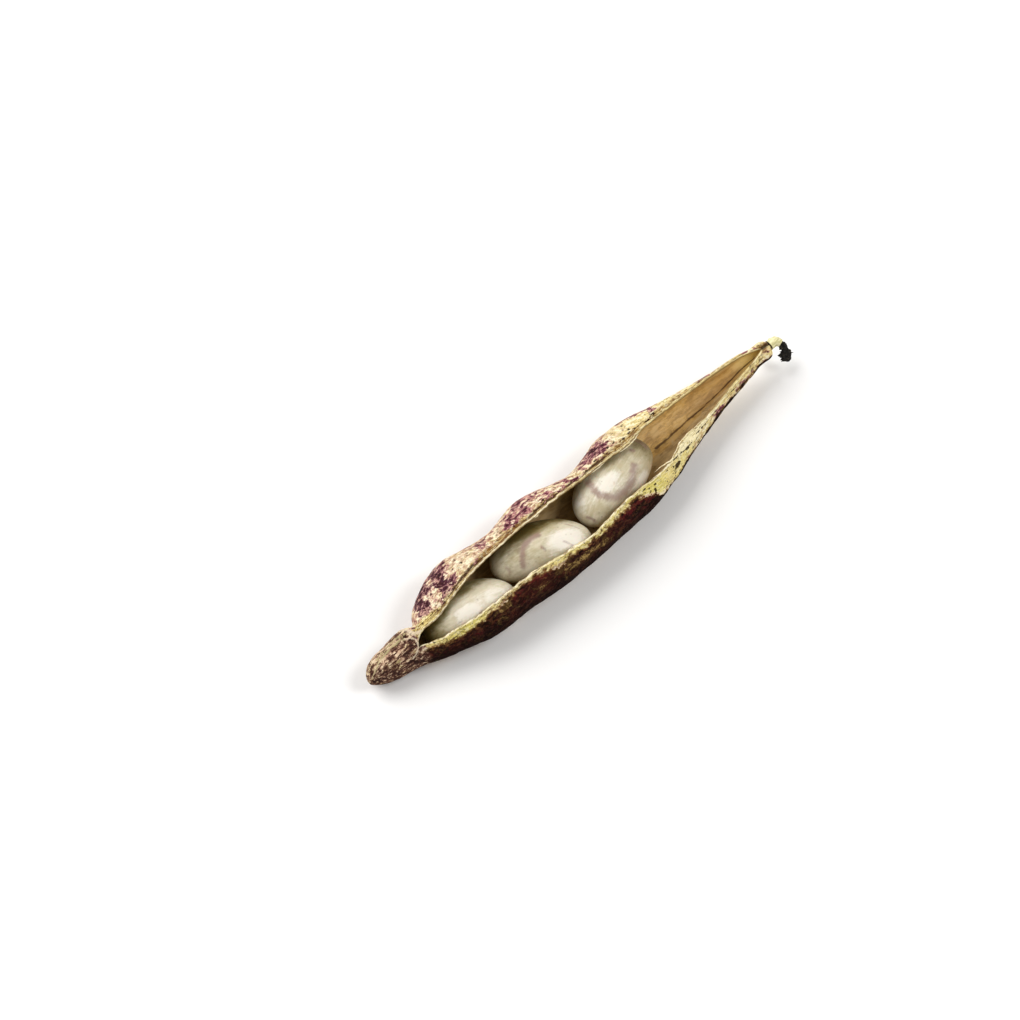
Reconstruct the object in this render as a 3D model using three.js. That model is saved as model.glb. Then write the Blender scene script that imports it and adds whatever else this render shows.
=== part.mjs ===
// A cranberry bean pod, split open along its upper seam, with three beans lying in it.
// Millimetres, +Z up. The pod lies on its back along X: the closed blossom end points to -X and
// the stalk end to +X. "Far" is the +Y side and "near" is the -Y side. Inside this file x runs
// along the pod from its blossom tip; the group at the end moves the origin to the middle of the
// underside.
import * as THREE from "three";

// ---------------------------------------------------------------- driving dimensions

const POD_LENGTH = 104; // blossom tip to the rounded lips at the stalk end
const TIP_ROUND = 3.6; // length over which the blossom tip rounds off
const NECK_ROUND = 1.5; // the same at the stalk end
const RIM_FADE = 0.35; // radians over which the wall thins towards the edges of the split
const RIM_SHARE = 0.6; // thickness left at those edges, as a share of the wall
const CAVITY_START = 8.3; // the hollow reaches a little under the skin at both ends
const CAVITY_END = 102.5;
const SPLIT_START = 9.9;
const SPLIT_END = 102;
const BELLY_PRESS = 0.2; // how much the soft underside flattens where it rests

const BEAN_LENGTH = 20.6;
const BEAN_BREADTH = 11.4;
const BEAN_DEPTH = 8.8;
const BEAN_BEND = 0.9; // how far the ends of a bean bend towards its eye
const BEAN_BLUNTNESS = 0.86; // below 1, the ends are blunter than an ellipse's

const STATIONS = 60; // cross-sections along the pod
const SECTION_STEPS = 28; // steps round one cross-section

const TIP_PLACE = new THREE.Vector3(-53.85, 0, 0); // the blossom tip's frame in the part's

// ---------------------------------------------------------------- curves along the pod

// A smooth curve through [x, value] pairs: cubic Hermite pieces whose slope at each inner pair is
// the slope between its neighbours. It is level outside the pairs.
function along(pairs) {
  const slope = pairs.map((_, i) => {
    if (i === 0 || i === pairs.length - 1) return 0;
    const [x0, v0] = pairs[i - 1];
    const [x1, v1] = pairs[i + 1];
    return (v1 - v0) / (x1 - x0);
  });
  return (x) => {
    if (x <= pairs[0][0]) return pairs[0][1];
    const last = pairs[pairs.length - 1];
    if (x >= last[0]) return last[1];
    const i = pairs.findIndex((pair) => pair[0] > x) - 1;
    const [x0, v0] = pairs[i];
    const [x1, v1] = pairs[i + 1];
    const h = x1 - x0;
    const t = (x - x0) / h;
    const t2 = t * t;
    const t3 = t2 * t;
    return (
      (2 * t3 - 3 * t2 + 1) * v0 +
      (t3 - 2 * t2 + t) * h * slope[i] +
      (3 * t2 - 2 * t3) * v1 +
      (t3 - t2) * h * slope[i + 1]
    );
  };
}

// Half-widths of the pod to its far and near side. The seeds push the far valve out in three
// bulges; the near valve is smoother. A nick on the far side marks where the split begins.
const farWidth = along([
  [0, 2.8], [5, 3.4], [9, 4.1], [11, 3.6], [12.6, 2.8], [14.5, 4.9], [17, 6.9], [21, 8.8],
  [25, 9.5], [29, 8.8], [34, 8.1], [37, 8.4], [40, 9.1], [44, 9.5], [48, 8.7], [51, 7.5],
  [54, 6.7], [57, 6.9], [60, 7.6], [63, 8.4], [67, 8.7], [71, 8.2], [77, 6.6], [84, 5.0],
  [91, 3.4], [97, 2.7], [101, 1.7], [104, 1.4],
]);
const nearWidth = along([
  [0, 1.2], [2.5, 2.0], [5, 2.7], [9, 3.2], [13, 5.1], [17, 6.3], [21, 7.5], [25, 8.2],
  [32, 8.4], [42, 9.2], [50, 9.2], [58, 8.8], [63, 8.5], [69, 7.6], [76, 5.9], [84, 4.2],
  [91, 3.0], [97, 2.3], [101, 1.7], [104, 1.4],
]);
const halfHeight = along([
  [0, 2.4], [5, 3.1], [9, 3.5], [14, 4.2], [20, 5.3], [26, 5.9], [34, 5.8], [43, 6.1],
  [53, 5.8], [63, 6.0], [70, 5.5], [78, 4.6], [85, 3.8], [91, 3.1], [97, 2.4], [101, 1.8],
  [104, 1.5],
]);
// Height of the underside above the ground: it rests under each seed and rises to the stalk.
const undersideHeight = along([
  [0, 1.0], [6, 0.2], [12, 0.35], [22, -BELLY_PRESS], [32, 0.1], [43, -BELLY_PRESS],
  [53, 0.1], [64, -BELLY_PRESS], [74, 0.3], [84, 1.2], [94, 2.4], [104, 3.9],
]);
// The pod curves slightly towards the far side at both ends.
const middleLine = along([
  [0, 1.5], [12, 0.9], [28, 0], [50, 0], [66, 0.3], [82, 1.1], [104, 1.9],
]);
const wallThickness = along([
  [8, 0.9], [14, 1.15], [80, 1.15], [92, 1.0], [101, 0.7],
]);

// The edges of the split, in degrees round the section from straight up, with positive towards
// the far side. They leave each other low on the near side and meet again at the stalk end.
const farEdge = along([
  [9.9, -32], [10.8, -14], [12, -5], [15.8, -3.5], [20, 5], [28, 14], [35, 19], [44, 15.5],
  [53, 21], [58, 18], [65, 10.5], [71, 16.5], [80, 24], [86, 31], [91.5, 40], [95.5, 30],
  [100, 8], [102, -14],
]);
const nearEdge = along([
  [9.9, -32], [13, -36], [17, -38.5], [28, -37.5], [37, -38], [47, -47.5], [56, -44], [67, -43],
  [71, -45.5], [76, -42], [84, -50], [93, -40], [100, -27], [102, -14],
]);

// ---------------------------------------------------------------- sections of the pod

const { clamp, degToRad, lerp, smoothstep } = THREE.MathUtils;

// Quarter-round factor, 0 at distance 0 and 1 at the given radius and beyond.
const quarterRound = (distance, radius) => {
  const t = clamp(distance / radius, 0, 1);
  return Math.sqrt(1 - (1 - t) ** 2);
};

function section(x) {
  const ends = quarterRound(x, TIP_ROUND) * quarterRound(POD_LENGTH - x, NECK_ROUND);
  const height = halfHeight(x);
  return {
    far: farWidth(x) * ends,
    near: nearWidth(x) * ends,
    height: height * ends,
    y: middleLine(x),
    z: undersideHeight(x) + height,
    from: degToRad(farEdge(x)),
    to: degToRad(nearEdge(x)) + 2 * Math.PI,
    wall: wallThickness(x),
  };
}

// A point on the section's two half-ellipses, sunk by depth along the ellipse's normal. Angle 0 is
// straight up and a quarter turn is the far side.
function sectionPoint(x, s, angle, depth) {
  const width = Math.sin(angle) >= 0 ? s.far : s.near;
  const normal = new THREE.Vector2(s.height * Math.sin(angle), width * Math.cos(angle));
  normal.normalize().multiplyScalar(depth);
  const y = s.y + width * Math.sin(angle) - normal.x;
  const z = s.z + s.height * Math.cos(angle) - normal.y;
  return new THREE.Vector3(x, y, Math.max(z, 0));
}

// Angles of one section, from the far edge of the split round the underside to the near edge.
function sectionAngles(s) {
  return Array.from({ length: SECTION_STEPS + 1 }, (_, j) => lerp(s.from, s.to, j / SECTION_STEPS));
}

function wallAt(s, angle) {
  const fromEdge = Math.min(angle - s.from, s.to - angle);
  return s.wall * lerp(RIM_SHARE, 1, smoothstep(fromEdge, 0, RIM_FADE));
}

// Places of the cross-sections: close together at both tips and where the split begins and ends.
function stationPlaces() {
  const head = [0.25, 0.8, 1.7, 3, 4.6, 6.5, CAVITY_START, 9, SPLIT_START, 10.4, 11, 12, 13.4];
  const tail = [99.4, 100.8, SPLIT_END, CAVITY_END, 103.1, 103.6, 103.9];
  const from = head[head.length - 1];
  const steps = STATIONS - head.length - tail.length + 1;
  const middle = Array.from({ length: steps - 1 }, (_, i) => lerp(from, tail[0], (i + 1) / steps));
  return [...head, ...middle, ...tail];
}

// ---------------------------------------------------------------- meshes

// Collects triangles by vertex number; a vertex at a place already used gets the same number.
class Surface {
  constructor() {
    this.positions = [];
    this.triangles = [];
    this.numbers = new Map();
  }
  vertex(p) {
    const key = `${p.x.toFixed(4)},${p.y.toFixed(4)},${p.z.toFixed(4)}`;
    if (!this.numbers.has(key)) {
      this.numbers.set(key, this.positions.length / 3);
      this.positions.push(p.x, p.y, p.z);
    }
    return this.numbers.get(key);
  }
  triangle(a, b, c) {
    const [i, j, k] = [this.vertex(a), this.vertex(b), this.vertex(c)];
    if (i !== j && j !== k && k !== i) this.triangles.push(i, j, k);
  }
  quad(a, b, c, d) {
    this.triangle(a, b, c);
    this.triangle(a, c, d);
  }
  geometry() {
    const made = new THREE.BufferGeometry();
    made.setAttribute("position", new THREE.Float32BufferAttribute(this.positions, 3));
    made.setIndex(this.triangles);
    made.computeVertexNormals();
    return made;
  }
}

// Joins rows of points into a skin. The first and last rows are closed with a point each.
function addSkin(surface, rows, firstPole, lastPole) {
  for (let i = 0; i + 1 < rows.length; i++) {
    for (let j = 0; j + 1 < rows[i].length; j++) {
      surface.quad(rows[i][j], rows[i + 1][j], rows[i + 1][j + 1], rows[i][j + 1]);
    }
  }
  const last = rows[rows.length - 1];
  for (let j = 0; j + 1 < last.length; j++) {
    surface.triangle(rows[0][j], rows[0][j + 1], firstPole);
    surface.triangle(last[j + 1], last[j], lastPole);
  }
}

const middleOf = (row) => new THREE.Box3().setFromPoints(row).getCenter(new THREE.Vector3());

// The pod's wall: an outer skin, an inner skin round the hollow, and a rim along each edge of the
// split that joins the two.
function podShellGeometry() {
  const outer = [];
  const inner = [];
  const edges = [];
  for (const x of stationPlaces()) {
    const s = section(x);
    const angles = sectionAngles(s);
    const outerRow = angles.map((angle) => sectionPoint(x, s, angle, 0));
    outer.push(outerRow);
    if (x >= CAVITY_START && x <= CAVITY_END) {
      const innerRow = angles.map((angle) => sectionPoint(x, s, angle, wallAt(s, angle)));
      inner.push(innerRow);
      if (x >= SPLIT_START && x <= SPLIT_END) edges.push([outerRow, innerRow]);
    }
  }
  const surface = new Surface();
  const tip = middleOf(outer[0]).setX(0);
  const neck = middleOf(outer[outer.length - 1]).setX(POD_LENGTH);
  addSkin(surface, outer, tip, neck);
  const inside = inner.map((row) => [...row].reverse());
  addSkin(surface, inside, middleOf(inner[0]), middleOf(inner[inner.length - 1]));
  for (let i = 0; i + 1 < edges.length; i++) {
    const [outerA, innerA] = edges[i];
    const [outerB, innerB] = edges[i + 1];
    surface.quad(innerA[0], innerB[0], outerB[0], outerA[0]);
    surface.quad(outerA.at(-1), outerB.at(-1), innerB.at(-1), innerA.at(-1));
  }
  return surface.geometry();
}

// A bean: a blunt-ended oval, lying on its side, whose ends bend towards the edge with the eye.
function beanGeometry(size) {
  const rings = 14;
  const steps = 20;
  const half = (size * BEAN_LENGTH) / 2;
  const halfBreadth = (size * BEAN_BREADTH) / 2;
  const halfDepth = (size * BEAN_DEPTH) / 2;
  const rows = [];
  for (let i = 1; i < rings; i++) {
    const turn = (Math.PI * i) / rings;
    const x = -half * Math.cos(turn);
    const girth = Math.sin(turn) ** BEAN_BLUNTNESS;
    const shift = BEAN_BEND * (0.5 - (x / half) ** 2);
    const row = [];
    for (let j = 0; j <= steps; j++) {
      const v = (2 * Math.PI * j) / steps;
      const y = halfBreadth * girth * Math.sin(v) + shift;
      row.push(new THREE.Vector3(x, y, halfDepth * girth * Math.cos(v)));
    }
    rows.push(row);
  }
  const surface = new Surface();
  const poles = [-half, half].map((x) => new THREE.Vector3(x, -BEAN_BEND / 2, 0));
  addSkin(surface, rows, ...poles);
  return surface.geometry();
}

// A closed tube along a smooth path. Each ring has its own half-width and half-thickness.
function tubeGeometry(points, halfWidths, halfThicknesses, rings, steps) {
  const path = new THREE.CatmullRomCurve3(points.map((p) => new THREE.Vector3(...p)));
  const width = along(halfWidths);
  const thickness = along(halfThicknesses);
  const rows = [];
  for (let i = 0; i <= rings; i++) {
    const u = i / rings;
    const centre = path.getPoint(u);
    const forward = path.getTangent(u);
    const across = new THREE.Vector3(0, 0, 1).cross(forward).normalize();
    const lift = new THREE.Vector3().crossVectors(forward, across);
    const row = [];
    for (let j = 0; j <= steps; j++) {
      const v = (2 * Math.PI * j) / steps;
      const point = centre.clone();
      point.addScaledVector(across, width(u) * Math.sin(v));
      point.addScaledVector(lift, thickness(u) * Math.cos(v));
      row.push(point);
    }
    rows.push(row);
  }
  const surface = new Surface();
  addSkin(surface, rows, path.getPoint(0), path.getPoint(1));
  return surface.geometry();
}

// ---------------------------------------------------------------- the parts

const group = new THREE.Group();

function addPart(name, geometry, color, roughness) {
  const skin = new THREE.MeshStandardMaterial({ color, roughness, metalness: 0 });
  const mesh = new THREE.Mesh(geometry, skin);
  mesh.name = name;
  group.add(mesh);
  return mesh;
}

addPart("pod_shell", podShellGeometry(), 0x9c5a5e, 0.6);

// Each bean lies nearly along the pod, at the place of a bulge. Its heading is in degrees, seen
// from above, its rise is how far it points up towards the stalk end, and its size is a share of
// the full-grown bean's.
const BEANS = [
  { name: "bean_lower", at: [22.3, -1.1, 5.42], heading: -19, rise: 6.5, size: 0.915 },
  { name: "bean_middle", at: [40.35, -1.2, 6.2], heading: -24, rise: 0, size: 0.965 },
  { name: "bean_upper", at: [60.4, 0.1, 6.2], heading: 9.5, rise: 1, size: 0.984 },
];
for (const { name, at, heading, rise, size } of BEANS) {
  const bean = addPart(name, beanGeometry(size), 0xe6e0cc, 0.35);
  bean.position.set(...at);
  bean.rotation.set(0, -degToRad(rise), degToRad(heading), "ZYX");
}

// The dark scar ring between the pod and its stalk, the bent stalk, and its withered end.
const collar = tubeGeometry(
  [[104.2, 1.9, 5.4], [104.55, 1.9, 5.4]],
  [[0, 1.1], [0.5, 1.35], [1, 1.1]],
  [[0, 1.15], [0.5, 1.4], [1, 1.15]],
  4,
  16,
);
addPart("calyx_collar", collar, 0x2e1f18, 0.8);

const stalk = tubeGeometry(
  [[104.75, 1.9, 5.4], [105.35, 1.85, 5.4], [105.95, 1.5, 5.25], [106.3, 0.9, 5.0]],
  [[0, 1.0], [0.4, 1.0], [1, 0.8]],
  [[0, 1.0], [0.4, 1.0], [1, 0.8]],
  6,
  12,
);
addPart("stalk", stalk, 0xc9cf8e, 0.7);

const witheredTip = tubeGeometry(
  [[106.4, 0.6, 4.8], [106.3, -0.3, 4.3], [105.8, -1.2, 3.6], [105.9, -2.1, 2.8]],
  [[0, 0.5], [0.15, 0.8], [0.35, 0.65], [0.6, 1.15], [0.8, 0.9], [1, 0.35]],
  [[0, 0.4], [0.3, 0.5], [0.7, 0.45], [1, 0.2]],
  9,
  10,
);
addPart("withered_tip", witheredTip, 0x1d1a14, 0.9);

group.position.copy(TIP_PLACE);

export default group;
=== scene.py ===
"""A cranberry bean pod, split open along its upper seam with three beans lying in it.

The pod lies on its back along X: the closed blossom end points to -X and the stalk end to +X. The far
valve is on the +Y side and the near valve on the -Y side. Shapes are worked out in millimetres from
the blossom tip, and sunk into the frame in metres.
"""
import math

import bpy
import numpy as np
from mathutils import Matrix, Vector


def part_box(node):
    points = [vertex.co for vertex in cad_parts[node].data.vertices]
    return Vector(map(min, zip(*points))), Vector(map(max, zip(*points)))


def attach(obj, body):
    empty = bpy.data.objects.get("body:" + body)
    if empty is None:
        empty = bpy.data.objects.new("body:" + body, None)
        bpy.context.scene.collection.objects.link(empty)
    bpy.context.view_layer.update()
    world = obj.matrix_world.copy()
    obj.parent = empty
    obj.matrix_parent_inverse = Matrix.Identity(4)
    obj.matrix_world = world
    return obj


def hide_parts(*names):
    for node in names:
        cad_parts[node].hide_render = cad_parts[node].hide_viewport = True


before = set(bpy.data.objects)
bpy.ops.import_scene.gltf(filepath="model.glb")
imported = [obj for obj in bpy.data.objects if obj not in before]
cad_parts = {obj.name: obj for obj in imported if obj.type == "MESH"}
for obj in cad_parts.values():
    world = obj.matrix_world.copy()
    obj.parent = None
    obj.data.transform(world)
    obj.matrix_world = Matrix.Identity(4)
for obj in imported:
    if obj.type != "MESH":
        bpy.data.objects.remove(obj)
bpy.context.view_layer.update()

MM = 0.001
TIP = np.array([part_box("pod_shell")[0].x, 0.0, 0.0])  # the blossom tip, in metres

# ---------------------------------------------------------------- driving dimensions, mm and degrees

POD_LENGTH = 104.0
TIP_ROUND = 3.6
NECK_ROUND = 1.5
RIM_FADE = 0.35  # radians over which the wall thins towards an edge of the split
RIM_SHARE = 0.6  # the wall at the rim, as a share of its full thickness, in the solid
TORN_SHARE = 0.38  # the same in the torn rim, which is thinner on the same outer skin
CAVITY = (8.3, 102.5)  # from and to in mm, of the hollow
SPLIT = (9.9, 102.0)  # from and to in mm, of the opening
BELLY_PRESS = 0.2  # mm that the underside would go below the floor, where it lies flat on it

STATION_RUNS = [(3.75, 13, 0.16), (13, 98, 0.34), (98, 102.4, 0.18)]  # from, to and step of sections
LEAST_STEP = 0.05  # mm between two sections
SKIN_COLUMNS = 132
LINING_COLUMNS = 88
RIM_STEPS = 5
RIM_SWELL = 0.22  # mm that the rounded rim stands into the split beyond the skin's edge
RIM_ROUNDNESS = 0.8  # the rim's swell as a share of a full half circle's
FULL_SWELL_GAP = 1.5  # mm between the edges from which the rim has its full swell
EDGE_CROWDING = 0.62  # how much closer together the columns are at the edges of the split

BEAN_LENGTH = 20.6
BEAN_BREADTH = 11.4
BEAN_DEPTH = 8.8
BEAN_BEND = 0.9
BEAN_BLUNTNESS = 0.86
BEAN_ROWS, BEAN_COLUMNS = 110, 120
EYE = (1.7, 0.65)  # half length and half breadth of the eye

FAR, NEAR = -1, 1  # the way round the section from each edge of the split into the opening
SMALL_TURN = 0.02  # radians, for measuring which way the skin runs


# ---------------------------------------------------------------- curves and noise

def along(*pairs):
    """A smooth curve through (x, value) pairs: cubic Hermite pieces whose slope at each inner pair is
    the slope between its neighbours. It is level outside the pairs."""
    knots, values = np.array(pairs, float).T
    slopes = np.zeros_like(values)
    slopes[1:-1] = (values[2:] - values[:-2]) / (knots[2:] - knots[:-2])

    def curve(x):
        x = np.clip(x, knots[0], knots[-1])
        i = np.clip(np.searchsorted(knots, x, side="right") - 1, 0, len(knots) - 2)
        h = knots[i + 1] - knots[i]
        t = (x - knots[i]) / h
        rise = (3 - 2 * t) * t * t
        return (
            (1 - rise) * values[i] + rise * values[i + 1]
            + t * (1 - t) ** 2 * h * slopes[i] - t * t * (1 - t) * h * slopes[i + 1]
        )

    return curve


def smooth(x, low, high):
    """0 at low and 1 at high, smoothly; it falls instead where high is less than low."""
    t = np.clip((x - low) / (high - low), 0, 1)
    return t * t * (3 - 2 * t)


def hump(x, centre, width):
    """A bell of height 1 and half-width width."""
    return np.exp(-(((x - centre) / width) ** 2))


def ripple(points, size, seed, stretch=1.0):
    """Smooth noise of about -1 to 1: the sum of sine waves in seeded random directions, with a
    wavelength near size, and stretch times that along X."""
    waves = 28
    rng = np.random.default_rng(seed)
    ways = rng.normal(size=(waves, 3))
    ways /= np.linalg.norm(ways, axis=1, keepdims=True)
    ways *= (2 * np.pi / size) * rng.uniform(0.6, 1.5, (waves, 1))
    ways[:, 0] /= stretch
    phases = rng.uniform(0, 2 * np.pi, waves)
    total = np.zeros(points.shape[:-1])
    for way, phase in zip(ways, phases):
        total += np.sin(points @ way + phase)
    return total * math.sqrt(2 / waves) * 0.7


def distance_to(path, u, v):
    """Shortest distance from each point (u, v) to the straight pieces of a path."""
    best = np.full(np.broadcast(u, v).shape, np.inf)
    for (u0, v0), (u1, v1) in zip(path[:-1], path[1:]):
        du, dv = u1 - u0, v1 - v0
        t = np.clip(((u - u0) * du + (v - v0) * dv) / (du * du + dv * dv), 0, 1)
        best = np.minimum(best, np.hypot(u - u0 - t * du, v - v0 - t * dv))
    return best


def on_axis(x):
    """Points on the X axis."""
    return np.stack([x, 0 * x, 0 * x], axis=-1)


# ---------------------------------------------------------------- the pod's sections

far_width = along(
    (0, 2.8), (5, 3.4), (9, 4.1), (11, 3.6), (12.6, 2.8), (14.5, 4.9), (17, 6.9), (21, 8.8), (25, 9.5),
    (29, 8.8), (34, 8.1), (37, 8.4), (40, 9.1), (44, 9.5), (48, 8.7), (51, 7.5), (54, 6.7), (57, 6.9),
    (60, 7.6), (63, 8.4), (67, 8.7), (71, 8.2), (77, 6.6), (84, 5), (91, 3.4), (97, 2.7), (101, 1.7),
    (104, 1.4),
)
near_width = along(
    (0, 1.2), (2.5, 2), (5, 2.7), (9, 3.2), (13, 5.1), (17, 6.3), (21, 7.5), (25, 8.2), (32, 8.4),
    (42, 9.2), (50, 9.2), (58, 8.8), (63, 8.5), (69, 7.6), (76, 5.9), (84, 4.2), (91, 3), (97, 2.3),
    (101, 1.7), (104, 1.4),
)
half_height = along(
    (0, 2.4), (5, 3.1), (9, 3.5), (14, 4.2), (20, 5.3), (26, 5.9), (34, 5.8), (43, 6.1), (53, 5.8), (63, 6),
    (70, 5.5), (78, 4.6), (85, 3.8), (91, 3.1), (97, 2.4), (101, 1.8), (104, 1.5),
)
underside_height = along(
    (0, 1), (6, 0.2), (12, 0.35), (22, -BELLY_PRESS), (32, 0.1), (43, -BELLY_PRESS), (53, 0.1),
    (64, -BELLY_PRESS), (74, 0.3), (84, 1.2), (94, 2.4), (104, 3.9),
)
middle_line = along((0, 1.5), (12, 0.9), (28, 0), (50, 0), (66, 0.3), (82, 1.1), (104, 1.9))
wall_thickness = along((8, 0.9), (14, 1.15), (80, 1.15), (92, 1.0), (101, 0.7))
far_edge = along(
    (9.9, -32), (10.8, -14), (12, -5), (15.8, -3.7), (20, 3.4), (28, 12.6), (35, 19), (44, 15.5), (53, 21),
    (58, 18), (65, 10.5), (71, 16.5), (80, 24), (86, 31), (91.5, 40), (95.5, 30), (100, 8), (102, -14),
)
near_edge = along(
    (9.9, -32), (13, -36), (17, -38.5), (28, -37.5), (37, -38), (47, -47.3), (51.5, -45), (56, -42.8),
    (61, -43.9), (64.3, -47.2), (67.5, -49), (70.5, -49.5), (72.2, -47.3), (74, -43.4), (76, -42),
    (84, -50), (93, -40), (100, -27), (102, -14),
)


def quarter_round(distance, radius):
    """0 at distance 0 and 1 at the radius and beyond, along a quarter circle."""
    t = np.clip(distance / radius, 0, 1)
    return np.sqrt(1 - (1 - t) ** 2)


def end_round(x):
    """How full the section is: 1 but for the rounding of both ends."""
    return quarter_round(x, TIP_ROUND) * quarter_round(POD_LENGTH - x, NECK_ROUND)


def edge_angles(x):
    """The two edges of the split as angles round the section, in radians, from the far edge round the
    underside to the near edge. Small torn waves ride on both between the ends of the split."""
    open_here = smooth(x, SPLIT[0], SPLIT[0] + 4) * smooth(x, SPLIT[1], SPLIT[1] - 6)
    line = on_axis(x)
    torn_far = 0.20 * ripple(line, 3.1, 11) + 0.35 * ripple(line, 1.1, 12)
    torn_near = 0.55 * ripple(line, 2.7, 13) + 0.5 * ripple(line, 0.9, 14)
    start = np.radians(far_edge(x) + open_here * torn_far)
    end = np.radians(near_edge(x) + open_here * torn_near)
    start = start + open_here * RIM_SWELL / run_per_radian(x, start, far_width)
    end = end - open_here * RIM_SWELL / run_per_radian(x, end, near_width)
    return start, end + 2 * np.pi


def run_per_radian(x, angle, width):
    """Distance in mm over the section for each radian of its angle."""
    return np.hypot(width(x) * np.cos(angle), half_height(x) * np.sin(angle))


def pod_point(x, angle, depth=0.0):
    """A point of the section at x: two half-ellipses, wider on the far side or the near side, with a
    common half height. Angle 0 is straight up and a quarter turn is the far side. The point is sunk
    by depth along the ellipse's normal, and never goes under the floor."""
    ends = end_round(x)
    width = np.where(np.sin(angle) >= 0, far_width(x), near_width(x)) * ends
    height = half_height(x) * ends
    out_y, out_z = height * np.sin(angle), width * np.cos(angle)
    length = np.hypot(out_y, out_z) + 1e-12
    y = middle_line(x) + width * np.sin(angle) - out_y / length * depth
    z = underside_height(x) + half_height(x) + height * np.cos(angle) - out_z / length * depth
    return np.stack(np.broadcast_arrays(x, y, np.maximum(z, 0)), axis=-1)


def into_opening(x, angle, way):
    """Steps of length 1 over the skin from an edge of the split into the opening."""
    ahead = pod_point(x, angle + way * SMALL_TURN) - pod_point(x, angle)
    return ahead / np.linalg.norm(ahead, axis=1, keepdims=True)


def pod_stations():
    """Places of the cross-sections: close together at both ends and where the split begins."""
    quarter = np.linspace(0.12, math.pi / 2, 20)
    tip = TIP_ROUND * (1 - np.cos(quarter))
    neck = POD_LENGTH - NECK_ROUND * (1 - np.cos(quarter[::2]))
    runs = [np.arange(*run) for run in STATION_RUNS]
    x = np.unique(np.concatenate([tip, *runs, neck, CAVITY, SPLIT]).round(4))
    kept = np.isin(x, CAVITY + SPLIT)
    too_near = np.diff(x, prepend=-1) < LEAST_STEP
    return x[kept | ~too_near]


# ---------------------------------------------------------------- meshes

def grid_faces(rows, columns, first, flip):
    """The four-sided faces between neighbouring rows and columns of a grid of numbered points."""
    i, j = np.meshgrid(np.arange(rows - 1), np.arange(columns - 1), indexing="ij")
    a = first + i * columns + j
    faces = np.stack([a, a + columns, a + columns + 1, a + 1], axis=-1).reshape(-1, 4)
    return faces[:, ::-1] if flip else faces


class Skin:
    """Grids of points gathered into one closed mesh. Points at one place become one vertex."""

    def __init__(self):
        self.points, self.faces, self.kinds, self.fields = [], [], [], []
        self.count = 0

    def grid(self, points, kind=0, flip=False, **fields):
        """Adds a grid of points, with a material number and a value of each field at each point."""
        shape = rows, columns = points.shape[:2]
        faces = grid_faces(rows, columns, self.count, flip)
        self.points.append(points.reshape(-1, 3))
        self.faces.append(faces)
        self.kinds.append(np.full(len(faces), kind))
        self.fields.append({k: np.broadcast_to(v, shape).ravel() for k, v in fields.items()})
        self.count += rows * columns

    def build(self, name, materials, node=None):
        """Makes the object, with doubled points merged and collapsed faces left out. It takes its
        finish from a slot of the record, and may stand for a node."""
        points = np.concatenate(self.points)
        _, first, number = np.unique(points.round(4), axis=0, return_index=True, return_inverse=True)
        faces = number.ravel()[np.concatenate(self.faces)]
        mesh = bpy.data.meshes.new(name)
        corners, kept = [], []
        for face, kind in zip(faces.tolist(), np.concatenate(self.kinds).tolist()):
            ring = [v for k, v in enumerate(face) if v != face[k - 1]]
            if len(set(ring)) == len(ring) > 2:
                corners.append(ring)
                kept.append(kind)
        mesh.from_pydata((points[first] * MM + TIP).tolist(), [], corners)
        for finish in materials:
            mesh.materials.append(finish)
        mesh.polygons.foreach_set("material_index", kept)
        mesh.polygons.foreach_set("use_smooth", [True] * len(kept))
        for field in sorted(set().union(*self.fields)):
            values = [f.get(field, np.zeros(len(p))) for f, p in zip(self.fields, self.points)]
            layer = mesh.attributes.new(field, "FLOAT", "POINT")
            layer.data.foreach_set("value", np.concatenate(values)[first].astype(np.float32))
        mesh.update()
        made = bpy.data.objects.new(name, mesh)
        bpy.context.scene.collection.objects.link(made)
        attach(made, "root")
        if node:
            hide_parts(node)


def with_poles(rows, first=None, last=None):
    """Closes a tube of points at both ends with a point each, repeated across the row."""
    first = rows[0].mean(axis=0) if first is None else first
    last = rows[-1].mean(axis=0) if last is None else last
    ends = [np.broadcast_to(np.asarray(p, float), (1,) + rows.shape[1:]) for p in (first, last)]
    return np.concatenate([ends[0], rows, ends[1]])


# ---------------------------------------------------------------- relief and stains of the husk

BULB_RADIUS = 3.6  # mm, for unrolling the blossom end's skin
VALVE_RADIUS = 5.5  # mm, for unrolling the near valve's skin
BULB_END = 12.5  # mm from the tip, where the blossom end's raised lines have faded
NO_EDGE = 9  # mm, the distance from the split that points before the split are given
NEAR_TIDE = 0.16  # the near valve's purple share
SLIT = -14  # degrees round the section, of the dark slit at the stalk end
BACK_SEAM, BACK_SEAM_DRIFT = 167, 12  # degrees round, of the lining's seam, and its drift at the stalk
# Low forms of the skin as soft ovals: mm from the tip, degrees round the section, half length in mm,
# half width in degrees, and height in mm. The last ones darken the streaks of the blossom end.
MOUND = [(6.4, -16, 3.4, 26, 0.34)]
LIPS = [(102.2, 34, 1.9, 44, 0.46), (102.2, -72, 1.9, 44, 0.95)]
KNOB_SHADES = [(9.4, -14, 0.8, 15, 0.30), (4.6, -4, 1.6, 12, -0.10), (1.8, -24, 1.6, 16, 0.14)]
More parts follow.
